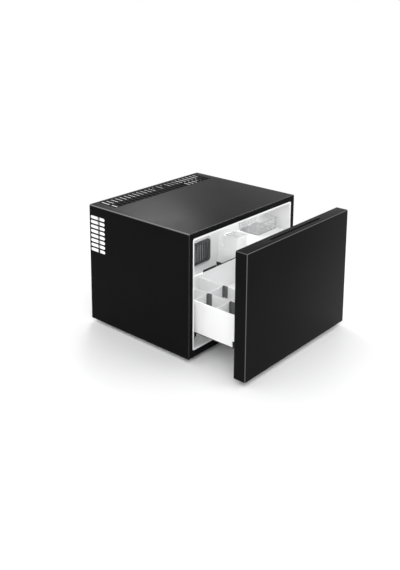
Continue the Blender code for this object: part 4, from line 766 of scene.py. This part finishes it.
def makeGasket():
    low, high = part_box("door_gasket")
    inset = gasket["width"] + gasket["corner"]
    work = bmesh.new()
    rings = []
    for turn, (x, z) in enumerate((
            (high.x - inset, high.z - inset), (low.x + inset, high.z - inset),
            (low.x + inset, low.z + inset), (high.x - inset, low.z + inset))):
        for step in range(gasket["cornerSteps"] + 1):
            angle = (turn + step / gasket["cornerSteps"]) * pi / 2
            ring = []
            for across, up in gasket["profile"]:
                reach = gasket["corner"] + across * gasket["width"]
                y = low.y + up * (high.y - low.y)
                ring.append(work.verts.new((x + reach * cos(angle), y, z + reach * sin(angle))))
            rings.append(ring)
    for first, second in zip(rings, rings[1:] + rings[:1]):
        for index in range(len(first)):
            work.faces.new((first[index - 1], first[index], second[index], second[index - 1]))
    piece = newPiece("doorGasket", meshFrom("doorGasket", work))
    roundEdges(piece, gasket["edge"], 1, angle=50)
    place(piece, "gasketVinyl", "door_gasket")


makeGasket()
print("runners and door dressed")


# basket, dividers and trays

basketEdges = {
    "basket": ("whitePlastic", 0.0007, 3), "tray_bridge": ("whitePlastic", 0.0006, 2),
    "snack_tray": ("whitePlastic", 0.0008, 3), "clear_tray": ("clearPlastic", 0.0006, 2),
}
for word in ("long_1", "long_2", "cross_1", "cross_2"):
    basketEdges["divider_" + word] = ("whitePlastic", 0.0004, 2)
for number in range(1, 5):
    basketEdges[f"divider_clip_{number}"] = ("clipPlastic", 0.0004, 2)
for node, (finish, edge, segments) in basketEdges.items():
    soften(node, finish, edge, segments)

# painted shadow: a dark strip standing in for the shadow line behind the basket's rear rim
# "low" and "notch" are shares of the strip's height.
rimShadowStrip = {
    "left": -0.056, "step": 0.010, "right": 0.190, "rear": 0.0176, "thickness": 0.0022,
    "height": 0.0078, "sunk": 0.0004, "slope": 0.003, "low": 0.42, "ribs": 12,
    "notch": 0.12, "notchTop": 0.0012, "notchTip": 0.0008, "edge": 0.0003,
}


def makeRimShadowStrip():                          # a black strip along the basket's rear rim standing in for the shadow line there: painted shadow
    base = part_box("basket")[1].z - rimShadowStrip["sunk"]
    rear = rimShadowStrip["rear"]
    front = rear - rimShadowStrip["thickness"]
    low, slope = rimShadowStrip["low"], rimShadowStrip["slope"]
    top, tip, dip = rimShadowStrip["notchTop"], rimShadowStrip["notchTip"], low - rimShadowStrip["notch"]
    line = [(rimShadowStrip["left"], 0.0), (rimShadowStrip["left"] + slope, 1.0)]
    line += [(rimShadowStrip["step"], 1.0), (rimShadowStrip["step"] + slope, low)]
    pitch = (rimShadowStrip["right"] - rimShadowStrip["step"] - 2 * slope) / rimShadowStrip["ribs"]
    for index in range(1, rimShadowStrip["ribs"]):
        x = rimShadowStrip["step"] + slope + index * pitch
        line += [(x - top, low), (x - tip, dip), (x + tip, dip), (x + top, low)]
    line += [(rimShadowStrip["right"] - slope, low), (rimShadowStrip["right"], 0.0)]
    work = bmesh.new()
    face = work.faces.new([work.verts.new((x, front, base + up * rimShadowStrip["height"])) for x, up in line])
    added = bmesh.ops.extrude_face_region(work, geom=[face])["geom"]
    bmesh.ops.translate(
        work, verts=[item for item in added if isinstance(item, bmesh.types.BMVert)],
        vec=(0, rear - front, 0))
    piece = newPiece("rimShadowStrip", meshFrom("rimShadowStrip", work))
    roundEdges(piece, rimShadowStrip["edge"], 1)
    piece.data.materials.append(finishes["blackPlastic"])
    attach(piece, "drawer")


makeRimShadowStrip()
print("basket and trays dressed")


# screws

screw = {
    "radius": 0.0032, "crown": 0.78, "height": 0.0016, "sides": 24,
    "slot": 0.0008, "slotLength": 0.0036, "slotDepth": 0.0009, "edge": 0.0002,
    "plateIn": 0.012, "plateHeights": (0.075, 0.205, 0.335), "supplyIn": 0.008, "guardOut": 0.040,
    "runnerIn": 0.035, "runnerUp": 0.006, "bracketUp": (0.012, 0.030), "sunk": 0.0015,
    "baseOut": 0.262, "baseAlong": (-0.02, 0.08, 0.17),
}


def screwTree():
    sheet, given = newGrowth("panScrews", {
        "Radius": "Float", "Height": "Float", "Slot": "Float", "Slot Length": "Float",
        "Slot Depth": "Float", "Finish": "Material"})
    whole = sheet.add("GeometryNodeMeshCone", {}, {
        "Vertices": screw["sides"], "Radius Top": given["Radius"] * screw["crown"],
        "Radius Bottom": given["Radius"], "Depth": given["Height"]})
    size = vector(sheet, given["Slot Length"], given["Slot"], given["Slot Depth"] * 2)
    blade = sheet.add("GeometryNodeMeshCube", {}, {"Size": size})
    blade = moved(sheet, blade, by=vector(sheet, z=given["Height"]))
    crossed = moved(sheet, blade, turned=(0, 0, pi / 2))
    head = sheet.add("GeometryNodeMeshBoolean", {"operation": "DIFFERENCE"}, {
        0: whole, 1: [blade, crossed]})
    facing = sheet.add("GeometryNodeInputNamedAttribute", {"data_type": "FLOAT_VECTOR"}, {
        "Name": "facing"})
    screws = sheet.add("GeometryNodeInstanceOnPoints", {}, {
        "Points": sheet.add("GeometryNodeMeshToPoints", {}, {"Mesh": given["Geometry"]}),
        "Instance": head,
        "Rotation": sheet.add("FunctionNodeAlignRotationToVector", {"axis": "Z"}, {"Vector": facing})})
    closeGrowth(sheet, screws, given["Finish"], False)
    return sheet.tree


def screwPlaces():                           # by body: (point, direction it faces)
    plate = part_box("rear_bulkhead")
    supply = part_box("power_supply_box")
    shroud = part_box("air_shroud")
    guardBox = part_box("fan_guard")
    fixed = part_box("slide_fixed_right")
    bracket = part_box("door_bracket_right")
    guardMiddle = (guardBox[0] + guardBox[1]) / 2
    runnerIn, sunk = screw["runnerIn"], screw["sunk"]
    rear, down = Vector((0, 1, 0)), Vector((0, 0, -1))
    cabinet, drawer = [], []
    for side in (-1, 1):
        for z in screw["plateHeights"]:
            cabinet.append((Vector((side * (plate[1].x - screw["plateIn"]), plate[1].y, z)), rear))
        for z in (supply[0].z + screw["supplyIn"], supply[1].z - screw["supplyIn"]):
            cabinet.append((Vector((side * (supply[1].x - screw["supplyIn"]), supply[1].y, z)), rear))
        for z in (guardMiddle.z - screw["guardOut"], guardMiddle.z + screw["guardOut"]):
            cabinet.append((Vector((side * screw["guardOut"], shroud[1].y, z)), rear))
        for y in (fixed[0].y + runnerIn, (fixed[0].y + fixed[1].y) / 2, fixed[1].y - runnerIn):
            spot = Vector((side * (fixed[1].x - sunk), y, fixed[0].z + screw["runnerUp"]))
            cabinet.append((spot, Vector((-side, 0, 0))))
        for up in screw["bracketUp"]:
            spot = (side * (bracket[0].x + bracket[1].x) / 2, bracket[0].y + sunk, bracket[0].z + up)
            drawer.append((Vector(spot), rear))
        for y in screw["baseAlong"]:
            cabinet.append((Vector((side * screw["baseOut"], y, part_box("base_plate")[0].z)), down))
    return {"cabinet": cabinet, "drawer": drawer}


tree = screwTree()
for body, places in screwPlaces().items():
    host = bpy.data.meshes.new(body + "ScrewPoints")
    host.from_pydata([point for point, facing in places], [], [])
    facings = host.attributes.new("facing", "FLOAT_VECTOR", "POINT")
    facings.data.foreach_set("vector", [part for point, facing in places for part in facing])
    piece = grow(body + "Screws", tree, {
        "Radius": screw["radius"], "Height": screw["height"], "Slot": screw["slot"],
        "Slot Length": screw["slotLength"], "Slot Depth": screw["slotDepth"],
        "Finish": finishes["zinc"]}, host)
    roundEdges(piece, screw["edge"], 1, angle=40)
    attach(piece, body)
print("screws set")


# floor, light and camera

stage = {
    "size": 14.0, "fadeStart": 0.55, "fadeEnd": 1.5, "dark": (0.96, 0.96, 0.965),
    "light": (0.97, 0.97, 0.975), "cloudScale": 3, "roughness": 0.45, "specular": 0.3, "ambient": 0.96,
}


def lookedAt(sheet):                         # 1 for rays that the background shows to
    rays = ("Is Camera Ray", "Is Glossy Ray", "Is Transmission Ray")
    return largest(sheet, *(sheet.add("ShaderNodeLightPath", output=ray) for ray in rays))


def makeFloor():
    work = bmesh.new()
    bmesh.ops.create_grid(work, x_segments=1, y_segments=1, size=stage["size"] / 2)
    floor = newPiece("floor", meshFrom("floor", work, False))
    sheet, spot = newFinish("floorFinish")
    away = sheet.add("ShaderNodeVectorMath", {"operation": "LENGTH"}, {0: spot}, 1)
    fade = between(sheet, away, stage["fadeStart"], stage["fadeEnd"]) * lookedAt(sheet)
    cloud = noise(sheet, spot, stage["cloudScale"], detail=3)
    ground = sheet.add("ShaderNodeBsdfPrincipled", {}, {
        "Base Color": blend(sheet, cloud, stage["dark"], stage["light"]),
        "Roughness": stage["roughness"], "Specular IOR Level": stage["specular"]})
    glow = sheet.add("ShaderNodeEmission", {}, {"Color": (1, 1, 1, 1), "Strength": 1.0})
    both = sheet.add("ShaderNodeMixShader", {}, {0: fade, 1: ground, 2: glow})
    sheet.add("ShaderNodeOutputMaterial", {}, {"Surface": both}, None)
    floor.data.materials.append(sheet.material)


def makeWorld():
    world = bpy.data.worlds.new("studio")
    world.use_nodes = True
    scene.world = world
    sheet = Sheet(world.node_tree)
    level = stage["ambient"] + lookedAt(sheet) * (1.0 - stage["ambient"])
    sky = sheet.add("ShaderNodeBackground", {}, {"Color": (1, 1, 1, 1), "Strength": level})
    sheet.add("ShaderNodeOutputWorld", {}, {"Surface": sky}, None)


lamps = {
    "key": {"at": (-2.0, -1.7, 2.4), "to": (-0.1, -0.1, 0.2), "size": 1.8, "power": 28},
    "front": {"at": (0.9, -2.6, 1.6), "to": (0.0, -0.2, 0.2), "size": 1.6, "power": 18},
    "rear": {"at": (0.71, 1.05, 1.15), "to": (-0.1, 0.0, 0.4), "size": 0.5, "power": 4.9},
    "inside": {"at": (0.02, 0.09, 0.386), "to": (0.02, 0.0901, 0.1), "size": 0.20, "power": 0.62},
}


def makeLamp(name, look):
    data = bpy.data.lights.new(name, "AREA")
    data.shape = "DISK"
    data.size = look["size"]
    data.energy = look["power"]
    lamp = bpy.data.objects.new(name, data)
    scene.collection.objects.link(lamp)
    lamp.location = look["at"]
    lamp.rotation_euler = (Vector(look["to"]) - Vector(look["at"])).to_track_quat("-Z", "Y").to_euler()
    lamp.visible_camera = False


viewpoint = {
    "at": (-1.8949, -1.5374, 1.1858), "turn": (78.0, 0.0, -47.86), "lens": 48.77, "sensor": 36,
    "shift": (0.038, -0.27),
}


def makeCamera():
    data = bpy.data.cameras.new("camera")
    data.lens = viewpoint["lens"]
    data.sensor_width = viewpoint["sensor"]
    data.shift_x, data.shift_y = viewpoint["shift"]
    camera = bpy.data.objects.new("camera", data)
    scene.collection.objects.link(camera)
    camera.location = viewpoint["at"]
    camera.rotation_euler = [radians(angle) for angle in viewpoint["turn"]]
    scene.camera = camera


makeFloor()
makeWorld()
for name, look in lamps.items():
    makeLamp(name, look)
makeCamera()
scene.view_settings.view_transform = "Standard"
print("stage, light and camera set")
